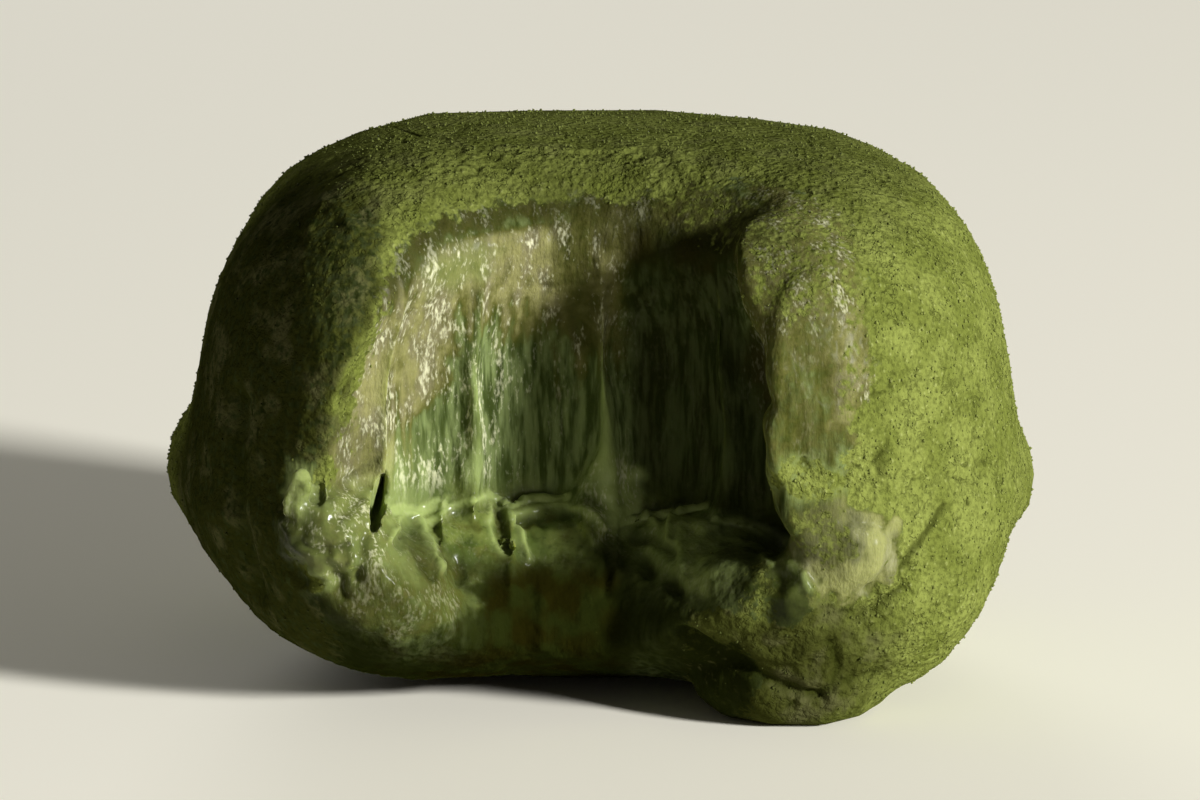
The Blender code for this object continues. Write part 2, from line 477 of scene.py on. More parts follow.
@dataclass(frozen=True)
class Bite:
    """What the teeth left: a tall wall, a rounded lip, and the pinched line where the rows met."""

    x: float = -0.7
    y: float = -26.5
    wall_depth: float = 15.4
    wall_half_width: float = 16.4
    wall_narrowing: Step = Step(13.0, 30.0, 3.0)
    hollowing: float = 0.7
    hollow_level: float = 23.0
    hollow_height: float = 5.0
    press_fading: Step = Step(20.0, 30.0)
    long_sway: Wave = Wave(0.35, 0.23)
    short_sway: Wave = Wave(0.2, 0.61)
    pinch_level: float = 12.0
    pinch_ripple: Wave = Wave(0.1, 19.0)
    lip_depth: float = 14.7
    lip_half_width: float = 15.0
    lip_power: float = 2.6
    lip_foot: float = 4.4
    lip_run: float = 5.2
    lip_swell: Step = Step(1.5, 6.5, 3.6)
    lip_run_power: float = 1.15
    lip_drop_power: float = 2.0
    least_slope: float = 0.02
    scoop_fading: Step = Step(5.5, 10.8)
    corner: float = 0.5
    round_corner: float = 2.0
    upper: ToothRow = ToothRow(
        (7.0, 6.6, 7.9, 7.7, 8.0, 7.0), (0.8, 0.9, 1.0, 1.15, 0.9, 0.8), midline=0.6, press=1.3, sharpness=4.2
    )
    lower: ToothRow = ToothRow(
        (3.6, 4.3, 6.1, 4.4, 3.8, 5.1), (0.8, 1.0, 1.0, 0.9, 0.7, 0.7), midline=1.2, press=1.0, sharpness=4.0
    )
    web_heights: tuple[float, ...] = (0.3, 0.7, 0.9, 4.0, 0.8, 0.6, 0.3)
    web_depth: float = 0.6
    web_fall: float = 2.6
    web_width: float = 0.35
    web_spread: float = 1.3
    spread_fall: float = 1.8
    ridge_height: float = 1.5
    ridge_share: float = 0.5
    crest_out: float = 0.35
    crest_up: float = 0.15
    crest_flatness: float = 0.75
    crest_radius: float = 0.22
    crest_swell: Wave = Wave(0.05, 7.0)
    crest_beads: Wave = Wave(0.04, 23.0)
    rim_softness: float = 1.2
    side_softness: Step = Step(11.0, 17.0, 3.0)
    top_softness: Step = Step(22.0, 30.0, 3.6)
    pinch_line: tuple[tuple[float, float], ...] = (
        (-16.0, -0.2), (-13.9, 0.0), (-11.9, 0.5), (-10.8, 0.1), (-9.2, 0.7), (-8.0, 1.2), (-6.7, 0.9),
        (-5.7, 0.2), (-4.1, 0.3), (-1.0, 0.3), (0.0, -0.3), (0.9, -1.3), (1.8, -1.0), (3.1, -0.6),
        (5.0, -0.2), (7.5, 0.2), (8.8, -0.6), (10.5, -1.4),
    )

    def seen_from_middle(self, points: Array) -> tuple[Array, Array]:
        """How far each point is from the arches' middle in plan, and in which direction.

        Returns:
            The distance, and the angle from straight ahead, positive to the right.
        """
        dx, dy = points[:, 0] - self.x, points[:, 1] - self.y
        return np.hypot(dx, dy), np.arctan2(dx, dy)

    def wall_reach(self, angle: Array, level: Array, toothed: bool) -> Array:
        """How far from the middle the wall is, in a direction and at a level.

        Args:
            angle: directions in plan.
            level: heights above the ground.
            toothed: whether the teeth's channels and the ridges' webs are wanted too.

        Returns:
            The distances.
        """
        half_width = self.wall_half_width - self.wall_narrowing(level)
        reach = 1.0 / np.hypot(np.sin(angle) / half_width, np.cos(angle) / self.wall_depth)
        if not toothed:
            return reach
        along, fading = self.along_wall(angle, level)
        reach = reach + fading * self.upper.mark(along)
        reach = reach + self.hollowing * hump(level, self.hollow_level, self.hollow_height)
        return reach - self.web_depth * self.webs(angle, level)

    def along_wall(self, angle: Array, level: Array) -> tuple[Array, Array]:
        """Where points lie along the wall's arch.

        Args:
            angle: directions in plan.
            level: heights above the ground.

        Returns:
            The places along the arch, and how clear the teeth's marks are at that height.
        """
        sway = self.long_sway(level, angle * 2.0) + self.short_sway(level, 1.0)
        return angle * self.wall_depth + sway, 1.0 - self.press_fading(level)

    def webs(self, angle: Array, level: Array) -> Array:
        """How far the dough was drawn out between the upper teeth, most at the foot of the wall.

        Args:
            angle: directions from the middle of the bite.
            level: heights above the ground.

        Returns:
            The distances.
        """
        along, fading = self.along_wall(angle, level)
        height = np.clip(level - self.pinch_level, 0.0, None)
        foot = self.web_width + self.web_spread * np.exp(-height / self.spread_fall)
        drawn = np.zeros(len(along))
        for edge, web in zip(self.upper.edges(), self.web_heights):
            ridge = self.ridge_share * fading * min(1.0, self.ridge_height / web)
            drawn = drawn + web * (ridge + np.exp(-height / self.web_fall)) * hump(along, edge, foot)
        return drawn

    def lip_edge(self, angle: Array) -> Array:
        """How far from the middle the lip starts at the pinch, before the teeth's marks.

        Args:
            angle: directions from the middle of the bite.

        Returns:
            The distances.
        """
        wide = (np.abs(np.sin(angle)) / self.lip_half_width) ** self.lip_power
        deep = (np.abs(np.cos(angle)) / self.lip_depth) ** self.lip_power
        return (wide + deep) ** (-1.0 / self.lip_power)

    def pinch_at(self, angle: Array) -> Array:
        """The level of the pinched line in each direction: it wanders, and dips beside a web.

        Args:
            angle: directions from the middle of the bite.

        Returns:
            The heights above the ground.
        """
        across, height = np.array(self.pinch_line).T
        place = self.lip_edge(angle) * np.sin(angle) + self.x
        return self.pinch_level + np.interp(place, across, height) + self.pinch_ripple(angle)

    def lip_distance(self, reach: Array, angle: Array, level: Array, toothed: bool) -> Array:
        """How far a point is outside the lip's rounded body; negative inside.

        Args:
            reach: how far the points are from the middle of the bite.
            angle: in which directions they are.
            level: their heights above the ground.
            toothed: whether the teeth's own marks are wanted.

        Returns:
            The distances.
        """
        edge = self.lip_edge(angle)
        inward = reach * self.lip_depth / edge
        if toothed:
            inward = inward - self.lower.mark(reach * np.sin(angle)) * self.scoop_fading(level)
        drop = self.pinch_at(angle) - self.lip_foot
        lip_run = self.lip_run + self.lip_swell(reach * np.sin(angle))
        out = np.clip(self.lip_depth - inward, 0.0, None) / lip_run
        up = np.clip(level - self.lip_foot, 0.0, None) / drop
        run, fall = self.lip_run_power, self.lip_drop_power
        slope = np.hypot(run * out ** (run - 1.0) / lip_run, fall * up ** (fall - 1.0) / drop)
        return (out**run + up**fall - 1.0) / (slope + self.least_slope)

    def leftover(self, points: Array, toothed: bool) -> Array:
        """How far these points are outside the dough that the teeth left; positive in the bite.

        Args:
            points: rows of X, Y and Z.
            toothed: whether the teeth's own marks are wanted, or only the bite's round form.

        Returns:
            The distances.
        """
        reach, angle = self.seen_from_middle(points)
        wall = self.wall_reach(angle, points[:, 2], toothed) - reach
        lip = self.lip_distance(reach, angle, points[:, 2], toothed)
        return soft_min(wall, lip, self.corner if toothed else self.round_corner)

    def crest(self, points: Array) -> Array:
        """How far these points are from the thin edge that was pinched out between the rows.

        Args:
            points: rows of X, Y and Z.

        Returns:
            The distances; negative inside.
        """
        reach, angle = self.seen_from_middle(points)
        edge = self.lip_edge(angle) + self.lower.mark(reach * np.sin(angle)) + self.crest_out
        above = (points[:, 2] - self.pinch_at(angle) - self.crest_up) * self.crest_flatness
        thick = self.crest_radius + self.crest_swell(angle, 1.0) + self.crest_beads(angle)
        return np.hypot(reach - edge, above) - thick

    def softness(self, points: Array) -> Array:
        """How far the bite's rims are rounded: most at the top, least at the lip."""
        level = points[:, 2]
        return self.rim_softness + self.side_softness(level) + self.top_softness(level)


# --- the dough as one form ---------------------------------------------------------------------


class Mask(Enum):
    """What varies over the dough's skin and is kept with its points."""

    POWDER = "powder"  # how thickly the tea powder lies
    BEIGE = "beige"  # stretched dough at the bite's rims: pale where it is full, olive where it is half
    WET = "wet"  # moist dough on the lip and where it tore
    BROWN = "brown"  # brown dough, most of it low on the lip and under it, with painted shade where the lip turns under
    HOLLOW = "hollow"  # how far down a crack or pit a point is; the powder's colour darkens there as painted shade
    DULL = "dull"  # skin that took little powder, and painted shade where the skin faces away from the key light
    DEEP = "deep"  # painted shade: the far part of the wall in the right rim's shadow, and dark lines along grooves
    THIN = "thin"  # dough drawn out thin, yellower and paler, partly a painted highlight on lit edges and flaps
    GLINT = "glint"  # painted glints: pale flecks in the colour where drawn fibres catch the light


SAGGING = (
    Lump((13.4, -10.8, 8.6), (11.0, 10.4, 8.7), softness=3.5),
    Lump((-12.6, -10.2, 8.4), (9.4, 9.4, 6.4), softness=3.0),
    Lump((20.2, 5.5, 10.9), (8.2, 12.3, 6.5), softness=0.9),
    Lump((-20.2, 4.5, 11.8), (8.2, 12.3, 6.3), softness=1.2),
)

TORN = (
    Lump((11.9, -13.9, 2.9), (6.6, 6.8, 4.2), softness=0.5, raggedness=0.3),
    Lump((11.0, -18.1, 7.2), (5.2, 3.3, 2.8), (0, 26, 0), 3.0, 0.3),
    Lump((11.2, -20.6, 9.0), (2.2, 2.2, 2.3), (0, 10, 0), 1.2, 0.3),
    Lump((-14.6, -18.2, 9.3), (3.8, 2.8, 2.8), (0, 18, 0), 3.4, 0.4),
    Lump((-16.4, -19.3, 12.7), (3.0, 2.5, 2.1), (0, 12, 0), 1.6, 0.5),
    Lump((-14.7, -18.7, 12.3), (1.5, 1.7, 2.4), (0, 0, 0), 1.0, 0.3),
    Lump((-18.3, -20.9, 15.2), (0.9, 0.5, 1.8), (0, 10, 0), 0.5, 0.4, 1.2),
    Lump((10.9, -17.8, 27.6), (2.5, 4.5, 4.2), (0, -20, 0), 3.2, 0.5, 3.0, (1.4, 4.2)),
    Lump((12.9, -21.0, 23.0), (2.7, 4.5, 5.4), (0, -4, 0), 1.3, 0.4, 3.4, (0.55, 2.6)),
    Lump((15.4, -20.6, 16.2), (2.4, 3.0, 2.8), (0, 0, 0), 1.5, 0.0, 2.6, (0.1, 3.0)),
    Lump((12.3, -21.2, 18.4), (2.5, 4.0, 3.4), (0, 2, 0), 0.9, 0.6, 2.4, (0.4, 2.2)),
    Lump((12.7, -21.2, 14.8), (2.0, 4.0, 2.2), (0, -25, 0), 0.7, 0.5, 2.0, (0.3, 2.3)),
    Lump((14.8, -20.7, 12.1), (3.4, 2.3, 2.8), (0, -10, 8), 1.2, 0.3),
    Fold(((10.0, -16.4, 22.6), (8.7, -15.3, 21.0), (8.8, -14.9, 17.4), (9.6, -15.9, 14.4)), 0.1, 1.2),
    Fold(((11.3, -21.9, 10.9), (12.2, -22.2, 10.5), (12.8, -22.5, 9.6), (12.7, -22.5, 8.7)), 0.28, 0.6),
)

HOLES = (
    Lump((-13.75, -17.0, 13.75), (0.4, 4.2, 1.85), (0, 10, 0), 0.15),
    Lump((-17.3, -21.0, 15.6), (0.3, 1.0, 0.9), (0, 0, 0), 0.3),
    Lump((-5.9, -14.6, 10.3), (0.25, 0.7, 0.35), (0, -12, 0), 0.3),
    Lump((10.3, -18.6, 13.4), (1.5, 2.6, 1.8), (0, 20, 0), 0.5, 0.4),
    Lump((-4.5, -11.6, 14.0), (0.35, 0.7, 0.7), (0, 0, 0), 0.3, 0.1),
    Lump((-8.5, -19.5, 0.6), (9.5, 5.5, 2.2), softness=1.2),
)

# Positive tones paint highlight along raised edges; negative tones paint shade along grooves.
MARKS = (
    Mark(((-22.3, 20.0), (-22.6, 13.5), (-21.6, 7.4)), 0.7, -0.6),
    Mark(
        ((15.0, 14.1), (16.7, 13.9), (17.7, 13.3), (18.2, 12.2), (18.0, 11.2), (17.3, 10.2), (16.4, 9.3)),
        0.4, -0.45,
    ),
    Mark(((18.4, 10.6), (18.7, 11.1), (19.7, 12.2), (21.2, 13.9)), 0.35, -0.12),
    Mark(((16.7, 8.0), (18.6, 9.4)), 0.35, -0.3),
    Mark(((4.9, 6.5), (7.4, 5.0), (9.6, 3.8), (11.6, 2.9), (13.4, 2.2)), 0.5, -0.7),
    Mark(((13.0, 2.4), (14.2, 2.9), (14.6, 4.2), (14.0, 6.0)), 0.4, -0.3),
    Mark(((9.5, 5.6), (11.0, 4.9), (12.2, 5.0), (13.0, 6.2)), 0.35, 0.2),
    Mark(
        ((-12.9, 12.2), (-12.1, 12.5), (-11.5, 12.3), (-11.0, 11.7), (-10.4, 10.9), (-9.7, 10.0)),
        0.2, 0.25, 0.9,
    ),
    Mark(((-12.3, 12.0), (-11.7, 11.8), (-11.3, 11.2), (-10.9, 10.5), (-10.3, 9.8)), 0.35, -0.35, -0.6),
    Mark(((-9.4, 9.9), (-9.9, 10.9), (-10.4, 11.7)), 0.25, -0.2, -0.4),
    Mark(
        ((-10.9, 11.9), (-10.0, 12.4), (-9.0, 12.8), (-8.0, 13.2), (-7.2, 12.9), (-6.4, 12.7)),
        0.18, 0.1, 1.0,
    ),
    Mark(((-10.6, 11.5), (-9.9, 12.0), (-9.0, 12.3), (-8.0, 12.7), (-7.3, 12.4)), 0.25, -0.15, -0.35),
    Mark(((-5.5, 11.9), (-4.4, 12.15), (-2.5, 12.15), (-1.2, 12.2), (-0.3, 11.9)), 0.18, 0.1, 1.0),
    Mark(((-5.3, 11.5), (-4.3, 11.7), (-2.5, 11.7), (-1.2, 11.8)), 0.25, -0.15, -0.45),
    Mark(((-7.0, 12.5), (-6.9, 11.4), (-6.4, 10.4), (-6.0, 10.0)), 0.2, 0.2, 0.7),
    Mark(((-6.3, 12.6), (-5.8, 12.1), (-5.2, 11.4), (-4.9, 10.5), (-4.6, 9.6)), 0.2, 0.35, 0.9),
    Mark(((-6.5, 12.2), (-6.3, 11.5), (-5.9, 10.5)), 0.4, -0.35, -0.7),
    Mark(((-5.3, 11.7), (-4.2, 11.7), (-3.7, 11.4)), 0.22, -0.3, -0.7),
    Mark(((-0.9, 12.0), (-0.3, 11.7), (0.2, 11.0)), 0.2, 0.3, 1.0),
    Mark(((0.4, 11.2), (0.4, 9.6), (0.3, 7.8)), 0.25, -0.35, -0.4),
    Mark(((0.8, 10.8), (0.85, 9.4), (0.8, 8.4)), 0.3, 0.2, 0.5),
    Mark(((2.4, 11.2), (2.9, 11.5), (3.5, 11.2)), 0.2, 0.3, 0.9),
    Mark(((4.5, 11.7), (4.2, 10.7)), 0.2, 0.4, 0.9),
    Mark(((6.0, 11.5), (7.2, 11.5)), 0.22, 0.25, 0.8),
    Mark(((2.0, 10.4), (3.2, 10.6), (4.4, 10.3)), 0.3, -0.3, -0.6),
    Mark(((-3.7, 7.6), (-3.7, 4.6)), 0.35, 0.2),
    Mark(((-8.8, 9.7), (-8.7, 9.0)), 0.35, -0.4, -0.7),
    Mark(((-15.9, 10.2), (-15.8, 9.0)), 0.35, -0.4, -0.7),
    Mark(((2.8, 9.4), (3.0, 9.2)), 0.5, -0.6, -1.0),
    Mark(((4.4, 8.9), (4.6, 8.8)), 0.55, -0.7, -1.0),
    Mark(((-17.6, 15.0), (-16.3, 15.3), (-15.0, 15.7), (-13.9, 16.4)), 0.28, -0.25, -0.5),
    Mark(((-18.6, 12.4), (-17.6, 12.0), (-16.5, 12.1), (-15.5, 12.4)), 0.3, -0.35, -0.6),
    Mark(
        ((-19.0, 9.7), (-18.0, 9.1), (-17.0, 9.5), (-16.5, 9.9), (-17.0, 10.4), (-17.7, 10.5)),
        0.4, 0.3, 0.6,
    ),
    Mark(((-14.4, 12.6), (-14.6, 11.3), (-14.9, 10.3)), 0.3, -0.35, -0.45),
    Mark(((-19.5, 13.6), (-19.1, 12.8), (-18.6, 12.2)), 0.35, 0.25, 0.5),
    Mark(((-16.3, 13.9), (-15.5, 14.3), (-14.8, 14.9)), 0.3, -0.2, -0.3),
    Mark(((-16.2, 11.6), (-15.6, 10.9), (-15.0, 11.4)), 0.35, 0.25, 0.3),
    Mark(((10.8, 10.3), (10.5, 9.2), (10.2, 8.0)), 0.8, -0.5, -0.5),
    Mark(((7.2, 12.0), (8.4, 11.7), (9.8, 11.2), (10.6, 10.9)), 0.2, 0.2, 0.8),
    Mark(((12.3, 10.7), (12.65, 9.8)), 0.25, 0.2, 0.9),
    Mark(((10.9, 23.4), (12.8, 21.6), (13.4, 20.0)), 0.5, 0.15),
    Mark(((11.0, 20.6), (12.2, 19.0), (12.4, 17.6)), 0.5, -0.2),
    Mark(((0.4, 33.4), (1.2, 34.2), (2.7, 34.5), (4.2, 34.1), (5.3, 33.2)), 0.35, 0.2),
    Mark(((-18.0, 30.2), (-17.2, 31.4), (-16.0, 31.6), (-15.2, 30.6)), 0.4, 0.25),
)


@dataclass(frozen=True)
class Patch:
    """A part of the skin with a finish of its own.

    Attributes:
        place: the space it fills.
        masks: what it sets there.
        fading: how far its edge fades, most of it outwards.
        outwards: the share of the fading that lies outside.
        margin: how much further off a point may still matter.
    """

    place: Lump
    masks: dict[Mask, float]
    fading: float
    outwards: float = 0.6
    margin: float = 1.0

    def paint(self, masks: dict[Mask, Array], points: Array, skin: Array, ragged: Array) -> None:
        """Sets its masks where it lies.

        Args:
            masks: the masks so far, which it changes.
            points: rows of X, Y and Z.
            skin: how far they are outside the ball's former skin.
            ragged: the unevenness of its edge.
        """
        outer, inner = self.outwards * self.fading, (1.0 - self.outwards) * self.fading
        near = self.place.near(points, outer + self.margin)
        gap = self.place.distance(points[near], skin[near]) + ragged[near]
        share = rise(gap, outer, -inner)
        for mask, value in self.masks.items():
            masks[mask][near] += (value - masks[mask][near]) * share


def patch(
    middle: Point, half_sizes: Point, lean: Point = (0.0, 0.0, 0.0), fading: float = 1.4, **masks: float
) -> Patch:
    """Makes a patch, with its masks given by their names."""
    place = Lump(middle, half_sizes, lean, softness=0.0)
    return Patch(place, {Mask(name): value for name, value in masks.items()}, fading)


PATCHES = (
    # painted shade on the lower right, which faces down, away from the light
    patch((9.0, -18.0, 5.2), (8.2, 7.0, 6.4), fading=5.5, dull=0.94),
    patch((-12.6, -19.0, 9.2), (5.0, 5.0, 3.2), powder=0.1, wet=0.5, beige=0.35, brown=0.25, glint=0.2),
    patch(
        (-16.0, -20.0, 12.8), (3.6, 4.0, 2.9),
        powder=0.0, wet=0.95, beige=0.35, brown=0.0, thin=0.25, glint=0.8,
    ),
    patch(
        (-18.4, -21.0, 15.6), (1.2, 2.0, 1.9),
        powder=0.0, wet=0.7, beige=0.4, thin=0.8, dull=0.0, brown=0.0,
    ),
    patch((-17.9, -21.5, 13.6), (0.8, 3.0, 1.2), fading=1.6, brown=0.6, beige=0.4),
    patch(
        (-14.9, -19.5, 17.1), (2.0, 4.0, 1.6), (0, 25, 0),
        powder=0.3, beige=0.8, glint=0.9, brown=0.25, wet=0.0, thin=0.0,
    ),
    patch((-1.3, -10.6, 26.5), (1.4, 3.0, 4.6), fading=2.4, brown=0.45, beige=0.5),
    patch((-9.0, -13.5, 28.0), (2.6, 3.0, 1.3), fading=2.0, thin=0.3, beige=0.6),
    patch((-10.8, -15.0, 22.5), (1.7, 3.5, 4.0), (0, 10, 0), 2.4, beige=0.9, brown=0.0),
    patch((-15.7, -17.8, 28.4), (2.2, 5.0, 5.2), (0, 10, 0), 2.0, powder=0.5, dull=0.85, brown=0.4),
    # painted highlight on the web's flared foot, which lies in shadow
    patch(
        (1.0, -11.5, 12.6), (1.5, 2.5, 2.4), fading=2.0,
        thin=1.0, deep=0.0, brown=0.0, glint=0.9, wet=0.9,
    ),
    patch(
        (12.4, -21.0, 19.6), (2.7, 5.0, 7.6),
        powder=0.0, wet=0.0, beige=0.4, brown=0.1, deep=0.0, glint=0.0,
    ),
    patch(
        (10.4, -17.8, 27.4), (2.4, 4.5, 4.0), (0, -20, 0), 2.4,
        beige=0.5, deep=0.0, brown=0.35, glint=0.3,
    ),
    patch(
        (12.2, -18.0, 29.2), (3.6, 6.0, 4.6), (0, 15, 0), 3.0,
        powder=0.52, dull=0.2, beige=0.6, glint=0.7,
    ),
    patch((6.2, -15.5, 31.6), (4.4, 6.0, 2.0), (0, 8, 0), 3.0, powder=0.5, dull=0.45, beige=0.5, brown=0.4),
    patch((12.4, -21.0, 16.6), (2.4, 4.0, 1.4), powder=0.7, beige=0.3, wet=0.2, thin=0.6),
    patch((15.0, -21.0, 23.0), (0.8, 4.0, 3.4), powder=0.5, wet=0.0, beige=0.8),
    patch(
        (14.8, -20.5, 12.0), (3.7, 5.0, 2.9), fading=1.6,
        powder=0.0, wet=0.2, beige=0.95, brown=0.0, dull=0.0, thin=0.25,
    ),
    patch((13.4, -21.0, 13.2), (3.0, 4.0, 1.7), (0, 30, 0), powder=0.5, brown=0.5, dull=0.35),
    patch(
        # painted shade in the crater's channel
        (11.0, -22.0, 9.6), (1.5, 3.0, 2.0), (0, 10, 0), 1.6,
        powder=0.0, wet=1.0, beige=0.0, brown=0.3, deep=0.4,
    ),
    # painted light: the lip's right part, in the cheek's shadow, is made paler
    patch(
        (5.0, -18.0, 10.6), (4.4, 6.0, 2.4), (0, 8, 0), 2.0,
        powder=0.1, deep=0.0, thin=0.5, wet=0.6, dull=0.0,
    ),
    # painted shade under the lip on the right
    patch((6.4, -17.5, 5.8), (3.2, 6.0, 2.4), (0, 20, 0), 2.0, deep=0.75, dull=0.8, wet=0.3),
    patch((3.4, -13.5, 29.6), (4.2, 5.0, 1.9), fading=2.4, beige=0.6, brown=0.6),
    # painted shadow on the left of the torn foot
    patch((7.2, -19.0, 3.0), (2.6, 6.0, 3.2), fading=2.0, powder=0.3, brown=0.85, dull=1.0),
    # painted shade on a lit bump under the flap
    patch((8.3, -19.5, 10.3), (1.7, 4.0, 1.9), deep=0.9, powder=0.0, wet=0.3),
    patch((9.7, -21.8, 9.4), (0.8, 3.0, 1.9), powder=0.6, dull=0.4),
)


@dataclass(frozen=True)
class DoughForm:
    """The whole bitten form, as a field that is negative inside the dough."""

    ball: Ball = Ball()
    bite: Bite = Bite()
    sagging: tuple[Feature, ...] = SAGGING
    torn: tuple[Feature, ...] = TORN
    holes: tuple[Feature, ...] = HOLES
    ground_softness: float = 0.6
    bitten_before: float = -6.0
    mark_softness: float = 0.3
    crest_inset: float = 0.4
    crest_softness: float = 0.25

    def whole(self, points: Array) -> Array:
        """The dango as it was before the bite, with its sagging lobes and cheeks."""
        ball = self.ball.distance(points)
        return self.combined(ball, ball, self.sagging, points, soft_min)

    def combined(
        self, dough: Array, skin: Array, features: tuple[Feature, ...], points: Array, how: Callable
    ) -> Array:
        """Joins features to a field, or cuts them out of it.

        Args:
            dough: the field so far at the points.
            skin: how far the points are outside the ball's former skin.
            features: what is added or cut away.
            points: rows of X, Y and Z.
            how: soft_min to add, soft_max to cut away.

        Returns:
            The new field.
        """
        sign = 1.0 if how is soft_min else -1.0
        joined = dough.copy()
        for feature in features:
            near = feature.near(points)
            if near.any():
                part = sign * feature.distance(points[near], skin[near])
                joined[near] = how(joined[near], part, feature.softness)
        return joined

    def distance(self, points: Array) -> Array:
        """How far these points are outside the dough, roughly; negative inside.

        Args:
            points: rows of X, Y and Z.

        Returns:
            The distances.
        """
        skin = self.whole(points)
        dough = skin.copy()
        front = points[:, 1] < self.bitten_before
        if front.any():
            at = points[front]
            bitten = soft_max(dough[front], self.bite.leftover(at, False), self.bite.softness(at))
            bitten = soft_max(bitten, self.bite.leftover(at, True), self.mark_softness)
            crest = np.maximum(self.bite.crest(at), skin[front] + self.crest_inset)
            dough[front] = soft_min(bitten, crest, self.crest_softness)
        dough = self.combined(dough, skin, self.torn, points, soft_min)
        dough = self.combined(dough, skin, self.holes, points, soft_max)
        return soft_max(dough, -points[:, 2], self.ground_softness)

    def normals(self, points: Array, step: float = 0.06) -> Array:
        """Which way the form's skin faces at these points.

        Args:
            points: rows of X, Y and Z.
            step: how far off the form is felt for.

        Returns:
            Directions of length 1.
        """
        slopes = []
        for axis in range(3):
            offset = np.zeros(3, np.float32)
            offset[axis] = step
            slopes.append(self.distance(points + offset) - self.distance(points - offset))
        slope = np.stack(slopes, 1)
        return slope / (np.linalg.norm(slope, axis=1, keepdims=True) + LEAST_LENGTH)


# --- from the form to a skin -------------------------------------------------------------------


@dataclass(frozen=True)
class Lattice:
    """Where the form is sampled: fine at the front, where the bite is, and coarser behind."""

    low: Point = (-29.6, -25.6, -0.9)
    high: Point = (29.6, 26.0, 35.4)
    step: float = 0.235
    front_step: float = 0.215
    back_step: float = 0.5
    graded_from: float = -9.0
    kept_fine: Step = Step(0.0, -7.0)
    off_ground: Step = Step(0.2, 1.6)
    grades: int = 8
    most_faces: int = 196_000
    samples_at_once: int = 400_000
    far: float = 10.0
    corrections: int = 2
    largest_move: float = 0.2

    def axes(self) -> list[Array]:
        """The sample positions along X, Y and Z.

        Returns:
            Positions in millimetres for each axis.
        """
        deep = [self.low[1]]
        while deep[-1] < self.high[1]:
            share = np.clip((deep[-1] - self.graded_from) / (self.high[1] - self.graded_from), 0.0, 1.0)
            deep.append(deep[-1] + self.front_step + (self.back_step - self.front_step) * share)
        across = np.arange(self.low[0], self.high[0], self.step)
        upward = np.arange(self.low[2], self.high[2], self.step)
        return [across.astype(np.float32), np.array(deep, np.float32), upward.astype(np.float32)]

    def skin(self, form: DoughForm) -> tuple[Array, Array]:
        """The surface of a form.

        Args:
            form: what to sample.

        Returns:
            The points in millimetres, and triangles that face outwards.
        """
        axes = self.axes()
        shape = tuple(len(axis) for axis in axes)
        places = np.stack(np.meshgrid(*axes, indexing="ij"), -1).reshape(-1, 3)
        values = np.empty(len(places), np.float32)
        for start in range(0, len(places), self.samples_at_once):
            part = slice(start, start + self.samples_at_once)
            values[part] = form.distance(places[part])
        grid = openvdb.FloatGrid(self.far)
        grid.copyFromArray(values.reshape(shape))
        indexes, faces = grid.convertToQuads(0.0)
        columns = [np.interp(indexes[:, i], np.arange(len(axis)), axis) for i, axis in enumerate(axes)]
        points, faces = self.joined_up(*self.thinned(np.stack(columns, 1).astype(np.float32), faces))
        for _ in range(self.corrections):
            gap = np.clip(form.distance(points), -self.largest_move, self.largest_move)
            points = points - gap[:, None] * form.normals(points)
        return points, faces

    def thinned(self, points: Array, faces: Array) -> tuple[Array, Array]:
        """Leaves fewer faces behind and underneath, where the skin is plain.

        Args:
            points: the skin's points.
            faces: its faces, four points each.

        Returns:
            The points and triangles that are kept.
        """
        draft = mesh_object("draft", points, faces)
        fine = self.kept_fine(points[:, 1]) * self.off_ground(points[:, 2])
        fine = np.round(fine * self.grades) / self.grades
        group = draft.vertex_groups.new(name="fine")
        for level in np.unique(fine):
            group.add(np.flatnonzero(fine == level).tolist(), float(level), "REPLACE")
        thinner = draft.modifiers.new("thinner", "DECIMATE")
        thinner.ratio = min(1.0, self.most_faces / (2.0 * len(faces)))
        thinner.vertex_group = group.name
        thinner.invert_vertex_group = True
        thinner.use_collapse_triangulate = True
        mesh = draft.evaluated_get(bpy.context.evaluated_depsgraph_get()).data
        kept = np.empty(len(mesh.vertices) * 3, np.float32)
        mesh.vertices.foreach_get("co", kept)
        triangles = np.empty(len(mesh.loops), np.int32)
        mesh.loops.foreach_get("vertex_index", triangles)
        bpy.data.objects.remove(draft)
        return kept.reshape(-1, 3) / MM, triangles.reshape(-1, 3)

    def joined_up(self, points: Array, faces: Array) -> tuple[Array, Array]:
        """Leaves out the specks that lie apart from the skin itself.

        Args:
            points: the skin's points.
            faces: its triangles.

        Returns:
            The points and triangles that hang together with the skin's back.
        """
        reached = np.zeros(len(points), bool)
        reached[np.argmax(points[:, 1])] = True
        count = 0
        while reached.sum() > count:
            count = reached.sum()
            reached[faces[reached[faces].any(1)]] = True
        numbers = np.cumsum(reached) - 1
        return points[reached], numbers[faces[reached[faces].all(1)]]


